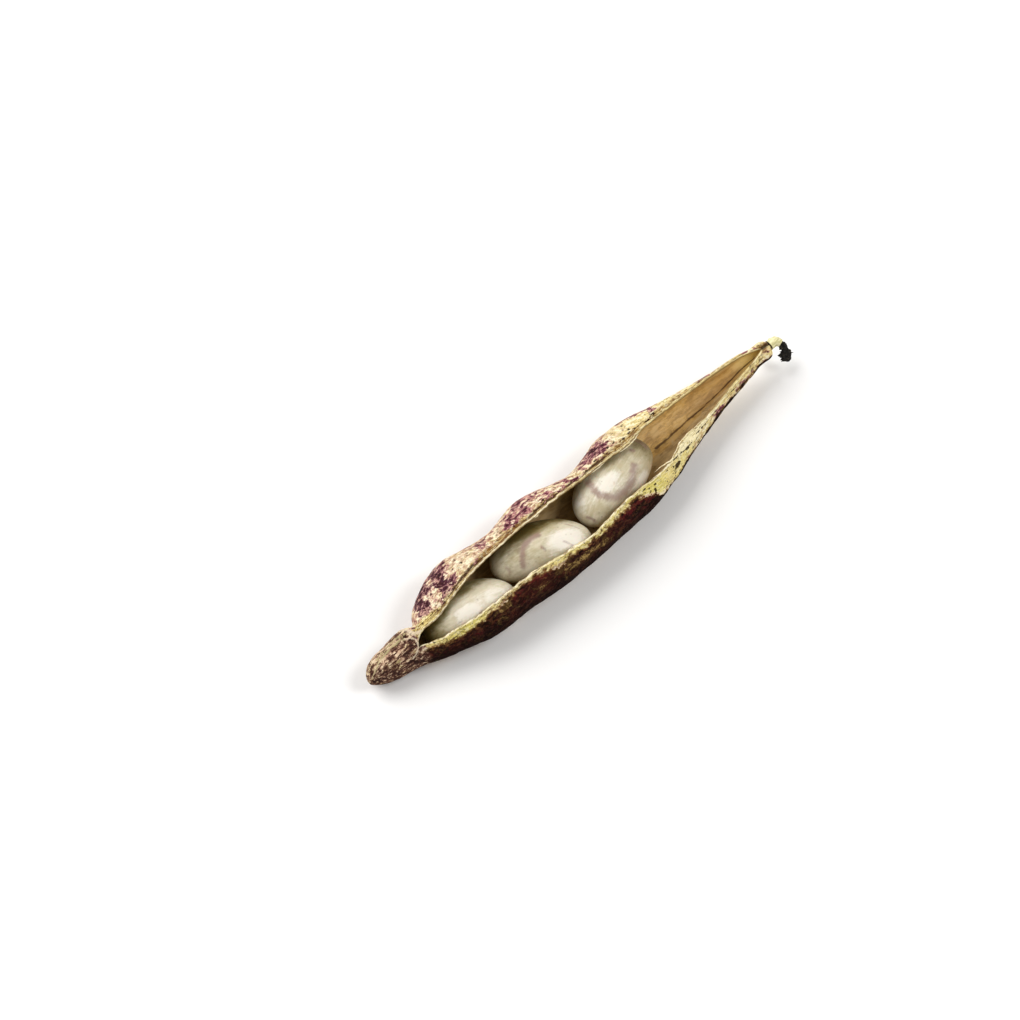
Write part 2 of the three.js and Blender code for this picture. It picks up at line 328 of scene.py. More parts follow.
# Raised pale lines on the blossom end, as (mm from the tip, degrees round the section): the green
# one over the mound, the pink one round the mound's end, a fainter green one beyond, and a pale one
# round the neck behind the blossom end.
MOUND_LINE = [(0.4, -14), (1.4, 0), (2.4, 9), (3.6, 15), (5.2, 20), (6.8, 24), (8.2, 21), (9.2, 13)]
ROUND_LINE = [(9.2, 13), (10.2, 3), (10.5, -9), (10.3, -22), (9.8, -34), (9.1, -44), (8.2, -52)]
UPPER_LINE = [(3.0, 27), (5.0, 33), (7.0, 38), (8.6, 34), (10.2, 24)]
COLLAR_LINE = [(12.4, -1), (11.7, 3), (11.1, 9), (10.9, 20), (10.7, 40), (10.2, 62)]
# Dark creases beside the torn part of the near valve, each with its strength.
CREASES = [
    ([(70.8, -52.5), (72.2, -55.5), (74.9, -60), (76.6, -61)], 0.75),
    ([(78.6, -57), (81.0, -60.5), (85.5, -62.5)], 0.50),
]

# Stains of the skin: mm from the tip, degrees round the section, half length in mm, half width in
# degrees, and strength. Above 0 is purple and below 0 is cream.
STAINS = [
    # far valve
    (15.7, 54, 1.7, 16, 1.2), (19.2, 66, 3, 12, 0.8), (14.6, 30, 0.7, 8, 0.45), (16.7, 29, 0.7, 6, 0.85),
    (18.5, 47, 1.1, 9, 0.65), (17, 13, 1.6, 5, -0.5), (17.9, 21, 0.7, 4, 0.8), (15.8, 26, 0.8, 8, 0.55),
    (19.2, 27, 0.5, 6, -0.45), (20.3, 35, 0.8, 7, 0.45), (17.3, 42, 0.5, 8, -0.5),
    (21.1, 29, 1.25, 11, 1.1), (22.2, 48, 1.1, 13, 0.95), (20, 57, 0.8, 9, -0.6), (25.6, 34, 2, 11, -0.75),
    (24.3, 58, 1, 10, 0.55), (28.6, 45, 1.8, 14, -0.55), (31.8, 36, 2.2, 3, 0.35), (31.4, 52, 0.9, 9, 0.4),
    (34, 39, 1.2, 8, -0.7), (36.3, 46, 1.5, 9, -0.55), (37.8, 36, 0.9, 4.5, 0.75), (39.6, 43, 1.1, 6, 0.85),
    (40.3, 36, 0.7, 3.5, 0.8), (42.3, 33, 0.75, 4.5, 0.85), (41.5, 56, 1, 10, 0.5),
    (44.6, 36, 1.1, 8, -0.6), (45.8, 53, 1.4, 12, 0.5), (48.2, 30, 0.7, 6, 0.8), (49.8, 45, 1.1, 10, -0.4),
    (52.4, 45, 0.55, 16, 0.8), (53.2, 33, 1.1, 4.5, 1.2), (51.4, 29, 0.7, 3, 0.7),
    (55.1, 46, 0.9, 10, -0.7), (56.5, 36, 0.7, 3, 0.95), (61, 49, 3.2, 14, 0.95),
    (62.3, 33, 1.3, 4.5, 0.75), (58.6, 35, 0.9, 4, -0.45), (66, 41, 1.4, 9, -0.6),
    (69.4, 34, 3.6, 13, -0.9), (75.7, 47, 0.9, 14, 0.75), (72.6, 57, 1, 10, 0.45),
    (79.2, 45, 1.8, 16, -0.7), (71.5, 61, 7, 7, 0.6), (82.9, 55, 1, 9, 0.75), (85.2, 50, 1, 12, -0.4),
    (88.2, 50, 1.3, 12, 0.5), (91, 48, 1, 20, 0.25), (95, 50, 1.6, 30, -0.4), (98.4, 45, 0.7, 25, 0.4),
    # near valve
    (13.2, -44, 2.4, 5, -0.45), (18.6, -43, 3.2, 4.5, -0.9), (24.5, -49, 0.9, 4.5, 0.55),
    (23.6, -42, 1.2, 3, -0.5), (27.2, -49, 1.1, 7, -0.75), (30.2, -51, 1.3, 6, 0.5),
    (34.6, -59, 1.3, 6, -0.2), (35.2, -47, 2.4, 5, 0.75), (39.6, -49, 1.4, 5, -0.65),
    (42.4, -47.5, 1, 3, 0.65), (46, -53, 2.2, 3.5, -0.55), (48.6, -64, 2.4, 8, -0.05),
    (47.6, -58, 1.6, 3, 0.45), (53.4, -55, 2.6, 5, 0.55), (59.6, -57, 2.2, 6, 0.75),
    (62.6, -64, 0.9, 9, 0.6), (65.6, -62, 1.4, 16, -1.1), (69, -60, 1.7, 8, -0.35),
    (74.5, -66, 4.2, 12, -1), (70, -84, 1.6, 6, 0.85), (79.5, -56, 1.4, 2.5, 0.55), (80, -74, 3, 12, -0.45),
    (85.6, -70, 1.1, 9, 0.7), (85, -88, 1.2, 9, 0.8), (93.2, -74, 1.4, 11, 0.95),
    (96.4, -69, 1.1, 10, 0.95), (90, -78, 1, 10, 0.5), (91, -52, 4, 8, -0.5), (99.6, -50, 2, 14, -0.6),
    (100.6, -82, 0.8, 20, 0.6),
]
# Patches in the dark side of the near valve, in the same form: above 0 is olive and below 0 is red.
PATCHES = [
    (12.5, -62, 1.4, 6, 0.45), (17.2, -58, 0.9, 6, 0.6), (20.4, -47, 1.3, 5, -0.9),
    (24.3, -46, 0.9, 4, -0.8), (25.6, -54, 1.9, 4.5, 0.9), (29.6, -47, 1.3, 6, -0.8),
    (34.6, -46, 2.6, 5, -1), (34.6, -64, 1.5, 8, 0.75), (39.8, -58, 1.5, 8, 0.9), (44.8, -66, 3.6, 7, 1),
    (46.5, -56, 2.6, 4, -0.9), (49.6, -70, 1.6, 6, 0.6), (54.5, -56, 2, 4, -0.6), (59, -58, 2.8, 5, -1),
    (62, -70, 1.6, 9, -0.9),
]
# Dark spots: mm from the tip, degrees round the section, half length in mm, half width in degrees.
SPOTS = [
    (24.2, 32, 0.22, 1.6), (26.2, 32, 0.25, 2.2), (46.1, 27, 0.3, 2), (59, 30, 0.42, 2),
    (62.9, 29.6, 0.32, 2.4), (64.6, 28.5, 0.3, 1.4), (66.7, 22.8, 0.85, 1.5), (68.5, 25.8, 0.6, 1.5),
    (69.8, 25.8, 0.28, 1.7), (68.8, 30, 0.22, 1.8), (68.8, 45, 0.25, 2.2), (73, 25, 0.6, 0.9),
    (74.8, 31, 0.48, 3.4), (61.6, -50.5, 0.7, 0.8), (64.5, -56.5, 0.28, 1.6), (68.3, -56, 0.35, 1.4),
    (64, -66, 0.35, 4), (71.6, -66, 0.75, 4.2), (76.7, -76, 0.38, 3.2), (75.1, -63, 0.35, 1.4),
    (70.1, -61, 0.28, 1.6), (70.9, -68, 0.3, 1.5), (70, -74, 0.5, 1.2), (70.6, -68, 1.2, 7, 0.25),
    (78.4, -82, 0.44, 4.6), (91.2, -60, 0.45, 2.2), (12.6, -39, 0.3, 2),
]

# Breadth of the plain band beside each edge of the split, in mm, how dark it is, and how green.
far_margin = along(
    (11, 1.7), (15, 1.7), (18, 1), (25, 0.75), (28, 1.1), (31, 1.5), (36, 1.4), (42, 1.15), (47, 1.1),
    (51, 0.75), (56, 0.7), (60, 1), (65, 1.5), (70, 1.3), (75, 1), (84, 0.9), (100, 0.7),
)
near_margin = along(
    (11, 0.8), (16, 1.3), (20, 1.3), (24, 0.75), (27, 0.65), (32, 0.55), (36, 0.6), (40, 0.95), (45, 0.85),
    (50, 0.85), (54, 0.95), (58, 0.85), (61, 1.2), (63.5, 2.2), (66, 3.4), (76, 3.2), (79, 1.3), (84, 1),
    (90, 1.2), (96, 1.1), (100, 0.9),
)
# The dark line in the far band: its strength, its distance from the edge and its half width, in mm.
far_dark = along(
    (14, 0), (17, 0.65), (22, 0.8), (25, 1), (29, 0.8), (34, 0.5), (38, 0.75), (42, 1), (47, 0.95),
    (50, 0.8), (53, 1), (60, 1), (62, 0.5), (64, 0),
)
dark_gap = along(
    (14, 0.7), (20, 0.6), (25, 0.85), (29, 0.55), (34, 0.35), (39, 0.5), (43, 0.68), (48, 0.6), (51, 0.6),
    (53.5, 1), (56.5, 0.75), (60, 0.7), (63, 0.45),
)
dark_half = along(
    (14, 0.1), (20, 0.16), (25, 0.4), (29, 0.18), (34, 0.1), (39, 0.16), (43, 0.26), (48, 0.24), (51, 0.26),
    (53.5, 0.6), (56.5, 0.34), (60, 0.3), (63, 0.12),
)
far_gold = along((26, 0), (29, 0.9), (38, 0.9), (42, 0.4), (50, 0.2), (58, 0))
near_green = along(
    (11, 0.3), (16, 0.8), (21, 0.9), (24, 0.35), (28, 0.1), (36, 0.15), (40, 0.5), (50, 0.5), (60, 0.75),
    (63, 0.95), (66, 0.85), (68, 0.35), (74, 0.45), (80, 0.2), (90, 0.1),
)
# Where the dark lower side of the near valve begins, in degrees, its maroon darkened partly as painted
# shade, and the far valve's purple share.
deep_from = along(
    (10, 41), (14, 42), (17, 42), (20, 38), (23, 40), (26, 43), (28.5, 36), (32, 33), (36.5, 34), (39, 46),
    (42, 43), (47, 44), (53, 46), (57, 46), (60, 49), (62, 57), (64, 68), (66, 79), (70, 82), (84, 74),
    (100, 68),
)
far_tide = along(
    (8, 0.2), (13, 0.22), (23, 0.25), (26, 0), (30, 0.08), (34, 0.22), (40, 0.28), (48, 0.24), (55, 0.1),
    (58, 0.25), (64, 0.2), (68, -0.1), (72, 0.1), (80, 0.12), (100, 0.15),
)
# Breadth of the torn white part of the near band, in mm.
torn_white = along(
    (70.8, 0), (72, 0.6), (73.2, 1.1), (75.5, 1.65), (79, 1.2), (82, 0.6), (87, 0.3), (92, 0),
)


def turned(angle):
    """The angle in degrees, between -180 and 180."""
    return (np.degrees(angle) + 180) % 360 - 180


def ovals(x, angle, table):
    """The sum of soft ovals, each with a place, a half length, a half width and maybe a strength."""
    degrees = turned(angle)
    total = np.zeros(np.broadcast(x, angle).shape)
    for place, turn, length, breadth, *strength in table:
        total += (strength or [1.0])[0] * hump(x, place, length) * hump(degrees, turn, breadth)
    return total


def unrolled_gap(x, angle, path, radius=BULB_RADIUS):
    """Distance in mm over the skin, unrolled at a radius, from a path of (mm, degrees) points."""
    line = [(u, math.radians(v) * radius) for u, v in path]
    return distance_to(line, x, np.radians(turned(angle)) * radius)


def creases(x, angle, width):
    """The sum of the creases as soft lines of a half width in mm, each times its strength."""
    return sum(
        strength * hump(unrolled_gap(x, angle, path, VALVE_RADIUS), 0, width) for path, strength in CREASES
    )


def skin_relief(x, angle, far_gap, near_gap, points):
    """How far the skin stands out, in mm: a lip and a groove beside each edge of the split, raised
    lines and a mound on the blossom end, two lips at the stalk end, dents and lengthwise fibres."""
    on_split = smooth(x, SPLIT[0] + 0.4, SPLIT[0] + 4) * smooth(x, SPLIT[1], SPLIT[1] - 3)
    rib = sum(height * hump(gap, at, width) for gap, at, height, width in (
        (far_gap, 0.15, 0.10, 0.2), (far_gap, 0.62, -0.16, 0.22), (far_gap, 1.1, 0.08, 0.25),
        (near_gap, 0.15, 0.08, 0.2), (near_gap, 0.6, -0.10, 0.22),
    ))
    lines = 0
    for path, height, width, groove, groove_at in (
        (MOUND_LINE, 0.12, 0.28, 0.16, 0.55), (ROUND_LINE, 0.12, 0.22, 0.20, 0.45),
        (UPPER_LINE, 0.10, 0.26, 0, 0), (COLLAR_LINE, 0.16, 0.30, 0, 0),
    ):
        gap = unrolled_gap(x, angle, path)
        lines = lines + height * hump(gap, 0, width) - groove * hump(gap, groove_at, 0.2)
    on_bulb = smooth(x, BULB_END, BULB_END - 2.5) * (lines + ovals(x, angle, MOUND))
    slit = -0.55 * hump(turned(angle), SLIT, 11) * smooth(x, 100.8, 101.9)
    relief = rib * on_split + on_bulb + ovals(x, angle, LIPS) + slit - 0.14 * creases(x, angle, 0.22)
    dents = 0.09 * ripple(points, 7.0, 21, 1.6) + 0.045 * ripple(points, 2.2, 22, 2.2)
    dents = dents + 0.022 * ripple(points, 0.9, 23, 2.0)
    return relief + dents * (0.25 + 0.75 * smooth(np.minimum(far_gap, near_gap), 0, 1.2))


def arc_gaps(points):
    """Distance over the skin from the far and the near edge of the split, along each section."""
    steps = np.linalg.norm(np.diff(points, axis=1), axis=2)
    walked = np.concatenate([np.zeros((len(points), 1)), np.cumsum(steps, axis=1)], axis=1)
    return walked, walked[:, -1:] - walked


def columns_between(start, end, count):
    """Angles from start to end, closer together near both: u - c sin(2 pi u) / 2 pi."""
    u = np.linspace(0, 1, count + 1)
    u = u - EDGE_CROWDING * np.sin(2 * np.pi * u) / (2 * np.pi)
    return start[:, None] + (end - start)[:, None] * u


def capped(fields):
    """The fields with their first and last rows repeated, for the poles."""
    return {name: np.concatenate([v[:1], v, v[-1:]]) for name, v in fields.items()}


def blossom_fields(at, angle):
    """What the blossom end's finish reads: its raised lines, and how dark its streaks are."""
    degrees = turned(angle)
    mound, upper, round_end, collar = (
        hump(unrolled_gap(at, angle, path), 0, width)
        for path, width in ((MOUND_LINE, 0.30), (UPPER_LINE, 0.34), (ROUND_LINE, 0.20), (COLLAR_LINE, 0.55))
    )
    sides = 0.20 * smooth(degrees, -40, -66) - 0.04 * smooth(degrees, 30, 46)
    return dict(
        bulb=smooth(at, 11.4, 10),
        green_line=np.maximum(mound, 0.7 * upper) * smooth(at, BULB_END, BULB_END - 2.5),
        pink_line=np.maximum(round_end, collar) * smooth(at, 13, 12),
        knob=sides + ovals(at, angle, KNOB_SHADES),
    )


def skin_fields(at, angle, far_gap, near_gap):
    """What the skin's finish reads at each point. Places are in mm from the tip, turns in degrees."""
    degrees = turned(angle)
    split_here = smooth(at, 10.2, 11.2)
    unsplit = NO_EDGE * (1 - split_here)
    far = (np.degrees(angle) < 180).astype(float)
    near = 1 - far
    blossom_side = smooth(at, 24, 15)
    return dict(
        place=at,
        far=far,
        edge=np.where(split_here > 0, np.minimum(far_gap, near_gap), NO_EDGE) + unsplit,
        past_band=np.where(far > 0, far_gap - far_margin(at), near_gap - near_margin(at)) + unsplit,
        stain=ovals(at, angle, STAINS),
        spot=ovals(at, angle, SPOTS) + creases(at, angle, 0.14),
        patch=ovals(at, angle, PATCHES),
        tide=np.where(far > 0, far_tide(at), NEAR_TIDE),
        # deep is the near valve's dark lower side, partly maroon skin and partly painted shade; low is
        # painted shade underneath
        deep=smooth(degrees + deep_from(at), 0, -20) * smooth(np.abs(degrees), 150, 110)
        * smooth(at, 9.6, 10.6) * (1 - 0.5 * smooth(at, 78, 86)),
        low=smooth(degrees, -64, -92) * smooth(np.abs(degrees), 160, 120),
        under=smooth(np.abs(degrees), 85, 120),
        calm=far * np.maximum(smooth(at, 63, 68), 0.7 * hump(at, 27, 2.5)) + near * 0.6 * smooth(at, 60, 65),
        umber=far * (smooth(at, 25, 22) + 0.45 * hump(at, 61, 4)),
        slit=np.maximum(hump(degrees, SLIT, 10) * smooth(at, 101.0, 101.8), smooth(at, 103.45, 103.75)),
        dark_line=far * far_dark(at) * hump((far_gap - dark_gap(at)) / dark_half(at), 0, 1),
        gold_band=far * far_gold(at),
        tan=far * (1 - 0.65 * blossom_side),
        green=near * near_green(at) + 0.45 * far * blossom_side,
        verge=smooth(at, 62, 60),
        torn=near * smooth(torn_white(at) - near_gap, -0.2, 0.2),
        **blossom_fields(at, angle),
    )


def husk_skin(made, x, start, end):
    """The outer skin, from one edge of the split round the underside to the other."""
    angle = columns_between(start, end, SKIN_COLUMNS)
    at = np.broadcast_to(x[:, None], angle.shape)
    plain = pod_point(at, angle)
    far_gap, near_gap = arc_gaps(plain)
    relief = skin_relief(at, angle, far_gap, near_gap, plain)
    outer = pod_point(at, angle, -relief * end_round(at))
    tips = [np.array([s, middle_line(s), underside_height(s) + half_height(s)]) for s in (0.0, POD_LENGTH)]
    made.grid(with_poles(outer, *tips), 0, **capped(skin_fields(at, angle, far_gap, near_gap)))
    return outer


def husk_lining(made, x, start, end):
    """The lining of the hollow: the section sunk by the wall's thickness, which thins towards the
    edges of the split, with a groove and a ridge along the seam at its back."""
    angle = columns_between(start, end, LINING_COLUMNS)
    at = np.broadcast_to(x[:, None], angle.shape)
    from_edge = np.minimum(angle - start[:, None], end[:, None] - angle)
    share = RIM_SHARE + (TORN_SHARE - RIM_SHARE) * smooth(at, SPLIT[0], SPLIT[0] + 2)
    wall = wall_thickness(at) * (share + (1 - share) * smooth(from_edge, 0, RIM_FADE))
    turns_past = np.degrees(angle) - BACK_SEAM + BACK_SEAM_DRIFT * smooth(at, 88, 102)
    back_line = turns_past * np.radians(1) * half_height(at)
    seam = smooth(at, 66, 72) * smooth(at, 102.4, 101)
    wall = wall - 0.10 * seam * hump(back_line, 0, 0.35) + 0.12 * seam * hump(back_line, 0.5, 0.25)
    inner = pod_point(at, angle, wall)
    fields = dict(
        edge=np.minimum(*arc_gaps(inner)), far=(np.degrees(angle) < 180).astype(float),
        seam=seam * hump(back_line, 0.15, 0.22), place=at,
    )
    made.grid(with_poles(inner), 1, flip=True, **capped(fields))
    return inner


def husk_rims(made, x, edges, outer, inner):
    """The rounded rim along each edge of the split, from the skin at t = 0 to the lining at t = pi: the
    wall's middle, plus half its thickness times cos t, plus its swell into the opening times sin t."""
    t = np.linspace(0, math.pi, RIM_STEPS + 1)
    gap = np.linalg.norm(outer[:, 0] - outer[:, -1], axis=1)
    for way, column, angle in ((FAR, 0, edges[0]), (NEAR, -1, edges[1])):
        middle = (outer[:, column] + inner[:, column]) / 2
        half = (outer[:, column] - inner[:, column]) / 2
        swell = np.linalg.norm(half, axis=1) * np.clip(gap / FULL_SWELL_GAP, 0, 1) * RIM_ROUNDNESS
        rows = (
            middle[:, None] + half[:, None] * np.cos(t)[None, :, None]
            + into_opening(x, angle, way)[:, None] * (swell[:, None] * np.sin(t))[:, :, None]
        )
        is_far = way == FAR
        made.grid(rows, 2, flip=is_far, far=float(is_far), place=x[:, None], across=(t / math.pi)[None])


def husk(materials):
    """The pod's husk: an outer skin and a lining on grids of (place along, angle round), joined by a
    rounded rim along each edge of the split."""
    x = pod_stations()
    start, end = edge_angles(x)
    made = Skin()
    outer = husk_skin(made, x, start, end)
    hollow = (x >= CAVITY[0]) & (x <= CAVITY[1])
    inner = husk_lining(made, x[hollow], start[hollow], end[hollow])
    split = (x >= SPLIT[0]) & (x <= SPLIT[1])
    husk_rims(made, x[split], (start[split], end[split]), outer[split], inner[split[hollow]])
    made.build("pod_husk", materials, "pod_shell")


# ---------------------------------------------------------------- beans

BEANS = {
    "bean_lower": dict(piece="seed_lower", heading=-19, rise=6.5, size=0.915, lean=0.0, front=0.86, seed=31),
    "bean_middle": dict(piece="seed_middle", heading=-24, rise=0, size=0.965, lean=0.0, front=0.86, seed=32),
    "bean_upper": dict(piece="seed_upper", heading=9.5, rise=1, size=0.984, lean=1.0, front=0.64, seed=33),
}
# Faint purple arcs on the coat, as paths over the bean seen from above in mm along and across, each
# with a width and a strength.
ARCS = {
    "bean_lower": [
        ([(1.2, -2.8), (2.6, -2.7)], 0.16, 0.9), ([(4.8, -2.3), (7.0, -1.8)], 0.14, 0.9),
        ([(-3.0, -2.7), (-2.2, -2.8)], 0.14, 0.7),
    ],
    "bean_middle": [
        ([(-0.2, 1.0), (-1.4, 0.8), (-2.6, 0.3), (-3.6, -0.6), (-4.3, -1.8), (-4.6, -3.2)], 0.66, 0.95),
        ([(-0.4, -1.5), (0.1, -2.1)], 0.30, 0.9), ([(3.9, -1.5), (5.4, -2.6)], 0.30, 0.6),
        ([(-7.6, -2.4), (-7.2, -3.2)], 0.35, 0.6), ([(5.4, 2.2), (7.8, 0.6)], 0.14, 0.8),
    ],
    "bean_upper": [
        ([(-4.5, 2.6), (-5.1, 1.0), (-5.4, -0.9), (-4.7, -2.3), (-3.5, -3.3), (-1.6, -3.9), (0.4, -3.7),
          (2.2, -2.9), (3.6, -2.2)], 0.85, 0.85),
        ([(5.9, 0.3), (6.2, -0.2)], 0.42, 0.9), ([(8.3, 1.6), (8.7, 0.2), (8.6, -1.6)], 0.12, 1.0),
        ([(8.9, 1.5), (9.2, 0.2), (9.0, -1.8)], 0.10, 1.0), ([(-0.6, 3.9), (1.6, 4.0)], 0.35, 0.9),
        ([(-9.6, -1.0), (-9.2, -2.4)], 0.22, 0.8),
    ],
}
# Painted shade in olive, and paler painted highlights where the strength is below 0, on the coats as
# soft ovals in mm along and across the bean: place, half lengths and strength.
PAINTED_SHADE_AND_HIGHLIGHTS = {
    "bean_lower": [(-10.0, -1.0, 4.6, 6.5, 1.45), (-5.0, 4.8, 6.0, 1.8, 0.80), (4.0, 4.9, 5.0, 1.0, 0.35),
                   (-5.2, 0.9, 3.0, 1.6, 0.55), (-0.8, 2.7, 4.2, 1.5, 0.75), (4.6, 3.6, 3.0, 1.1, 0.35),
                   (-1.0, -1.8, 4.5, 1.8, -0.6), (6.0, -0.4, 3.5, 2.3, -0.4)],
    "bean_middle": [(-8.2, 2.6, 4.5, 4.0, 0.65), (-1.0, 4.8, 7.5, 3.0, 1.00), (-2.0, 2.0, 3.6, 1.3, 0.60),
                    (-4.8, -0.8, 2.4, 1.7, 0.28), (4.5, 3.8, 4.5, 1.0, 0.40), (-3.0, -2.6, 2.6, 0.8, 0.20),
                    (4.6, -0.8, 4.2, 2.4, -0.8)],
    "bean_upper": [(-7.0, -4.6, 2.4, 1.6, 0.45), (9.0, -0.8, 3.4, 4.4, 0.75), (0.8, 1.9, 2.3, 1.2, 0.75),
                   (3.6, 0.6, 3.0, 2.4, 0.30), (-2.6, -0.4, 3.0, 1.8, -0.8), (-8.6, 2.2, 2.4, 2.4, -0.4),
                   (3.4, -4.7, 3.6, 1.1, -0.6)],
}
# The ground tone of each coat, and the olive tone of its painted shade.
COATS = {
    "bean_lower": ((204, 193, 166), (128, 114, 62)),
    "bean_middle": ((190, 178, 144), (122, 106, 60)),
    "bean_upper": ((193, 181, 148), (142, 126, 84)),
}


def bean_oval(half, broad, deep, front):
    """A blunt-ended oval lying on its side, whose ends bend towards the edge with the eye. With t from
    pole to pole and v round it, x is -half cos t, the girth is sin t to a power, and the section is an
    ellipse of that girth. The power at the front end may differ."""
    t = np.linspace(0, math.pi, BEAN_ROWS)[1:-1, None]
    v = np.linspace(0, 2 * math.pi, BEAN_COLUMNS + 1)[None, :]
    x = -half * np.cos(t) + 0 * v
    girth = np.sin(t) ** (BEAN_BLUNTNESS + (front - BEAN_BLUNTNESS) * smooth(x / half, 0, 1))
    shift = BEAN_BEND * (0.5 - (x / half) ** 2)
    oval = np.stack([x, broad * girth * np.sin(v) + shift, deep * girth * np.cos(v)], axis=-1)
    oval[:, -1] = oval[:, 0]
    return with_poles(oval, (-half, -BEAN_BEND / 2, 0), (half, -BEAN_BEND / 2, 0))


def bean_marks(node, local):
    """How strong the purple arcs are at each point, and how strong the painted shade is, with painted
    highlights below 0.
    """
    x, y, z = local[..., 0], local[..., 1], local[..., 2]
    mark = np.zeros(x.shape)
    for path, width, strength in ARCS[node]:
        mark = np.maximum(mark, strength * hump(distance_to(path, x, y), 0, width) * smooth(z, -1.5, 1))
    painted_shade_and_highlight = sum(
        strength * hump(np.hypot((x - u) / length, (y - v) / breadth), 0, 1)
        for u, v, length, breadth, strength in PAINTED_SHADE_AND_HIGHLIGHTS[node]
    )
    return dict(mark=mark, painted_shade_and_highlight=painted_shade_and_highlight, lx=x, ly=y, lz=z)


def bean(node, piece, heading, rise, size, lean, front, seed):
    """A bean, laid where its solid lies: the oval, whose front end may lean over by some mm, with soft
    dents and a small oval eye in the bent edge."""
    radii = half, broad, deep = [size * d / 2 for d in (BEAN_LENGTH, BEAN_BREADTH, BEAN_DEPTH)]
    oval = bean_oval(half, broad, deep, front)
    eye = np.hypot(oval[..., 0] / EYE[0], oval[..., 2] / EYE[1])
    eye_side = smooth(oval[..., 1], 0, -broad / 2)
    dent = eye_side * (0.22 * hump(eye, 0.9, 0.35) - 0.30 * hump(eye, 0, 0.55))
    local = oval + np.array([0, lean, 0]) * smooth(oval[..., :1] / half, 0.15, 1.05)
    outward = local / np.square(radii)
    outward /= np.linalg.norm(outward, axis=-1, keepdims=True) + 1e-9
    points = local + outward * (0.035 * ripple(local, 6.0, seed) - 0.02 + dent * 0.6)[..., None]
    points[:, -1] = points[:, 0]
    yaw, pitch = math.radians(heading), math.radians(rise)
    turn = np.array([
        [math.cos(yaw) * math.cos(pitch), -math.sin(yaw), -math.cos(yaw) * math.sin(pitch)],
        [math.sin(yaw) * math.cos(pitch), math.cos(yaw), -math.sin(yaw) * math.sin(pitch)],
        [math.sin(pitch), 0, math.cos(pitch)],
    ])
    laid = (oval @ turn.T).reshape(-1, 3)
    centre = (np.array(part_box(node)).mean(axis=0) - TIP) / MM
    made = Skin()
    made.grid(
        points @ turn.T + (centre - (laid.min(axis=0) + laid.max(axis=0)) / 2),
        eye=eye_side * smooth(eye, 1.5, 0.9), **bean_marks(node, local),
    )
    made.build(piece, [seed_finish(piece + "_coat", *COATS[node])], node)


# ---------------------------------------------------------------- stalk end

def tube(points, half_widths, half_thicknesses, rows, columns, rough, seed, size):
    """A closed tube along a smooth path through the points: each ring is the path's point, plus the
    half width times sin v across, plus the half thickness times cos v upwards, with noise on both."""
    points = np.array(points, float)
    knots = np.linspace(0, 1, len(points))
    u = np.linspace(0, 1, rows)
    path = np.stack([along(*zip(knots, points[:, k]))(u) for k in range(3)], axis=-1)
    forward = np.gradient(path, axis=0)
    forward /= np.linalg.norm(forward, axis=1, keepdims=True)
    across = np.cross([0, 0, 1], forward)
    across /= np.linalg.norm(across, axis=1, keepdims=True)
    lift = np.cross(forward, across)
    v = np.linspace(0, 2 * math.pi, columns + 1)
    side = (along(*half_widths)(u)[:, None] * np.sin(v))[..., None] * across[:, None]
    up = (along(*half_thicknesses)(u)[:, None] * np.cos(v))[..., None] * lift[:, None]
    rings = path[:, None] + side + up
    rings = rings + (side + up) * (rough * ripple(rings, size, seed))[..., None]
    rings[:, -1] = rings[:, 0]
    return with_poles(rings, path[0], path[-1])


def scar_ring(finish):
    """The dark scar between pod and stalk: a short, thick disc with rounded edges."""
    made = Skin()
    made.grid(tube(
        [(103.86, 1.9, 5.4), (104.0, 1.9, 5.4), (104.14, 1.9, 5.4)],
        [(0, 0.8), (0.35, 0.93), (0.7, 0.93), (1, 0.8)],
        [(0, 0.82), (0.35, 0.96), (0.7, 0.96), (1, 0.82)], 14, 56, 0.08, 41, 0.8,
    ))
    made.build("scar_ring", [finish], "calyx_collar")


def bent_stalk(finish):
    """The short stalk, which bends towards the near side and tapers a little."""
    girth = [(0, 1.0), (0.4, 1.0), (1, 0.8)]
    made = Skin()
    made.grid(tube(
        [(104.06, 1.9, 5.4), (105.35, 1.85, 5.4), (105.95, 1.5, 5.25), (106.3, 0.9, 5.0)],
        girth, girth, 40, 48, 0.05, 42, 0.9,
    ))
    made.build("bent_stalk", [finish], "stalk")


def withered_end(finish):
    """The flat, shrivelled black end that hangs from the stalk, with three barbs."""
    made = Skin()
    made.grid(tube(
        [(106.3, 0.95, 4.95), (106.3, -0.3, 4.3), (105.8, -1.2, 3.6), (105.9, -2.1, 2.8)],
        [(0, 0.5), (0.15, 0.8), (0.35, 0.65), (0.6, 1.15), (0.8, 0.9), (1, 0.35)],
        [(0, 0.4), (0.3, 0.5), (0.7, 0.45), (1, 0.2)], 70, 48, 0.28, 43, 0.55,
    ))
    for root, end, girth in (
        ((105.7, -0.7, 3.9), (104.6, -0.9, 3.7), 0.24),
        ((105.4, -1.6, 3.4), (104.1, -1.5, 3.4), 0.28),
        ((105.9, -2.0, 2.9), (106.3, -2.15, 2.8), 0.22),
    ):
        middle = (np.array(root) + np.array(end)) / 2 + [0, 0, 0.12]
        made.grid(tube(
            [root, middle, end], [(0, girth), (0.5, girth * 0.7), (1, 0.03)],
            [(0, girth * 0.8), (0.5, girth * 0.5), (1, 0.03)], 18, 16, 0.2, 44, 0.3,
        ))
    made.build("withered_end", [finish], "withered_tip")


# ---------------------------------------------------------------- torn strips of lining

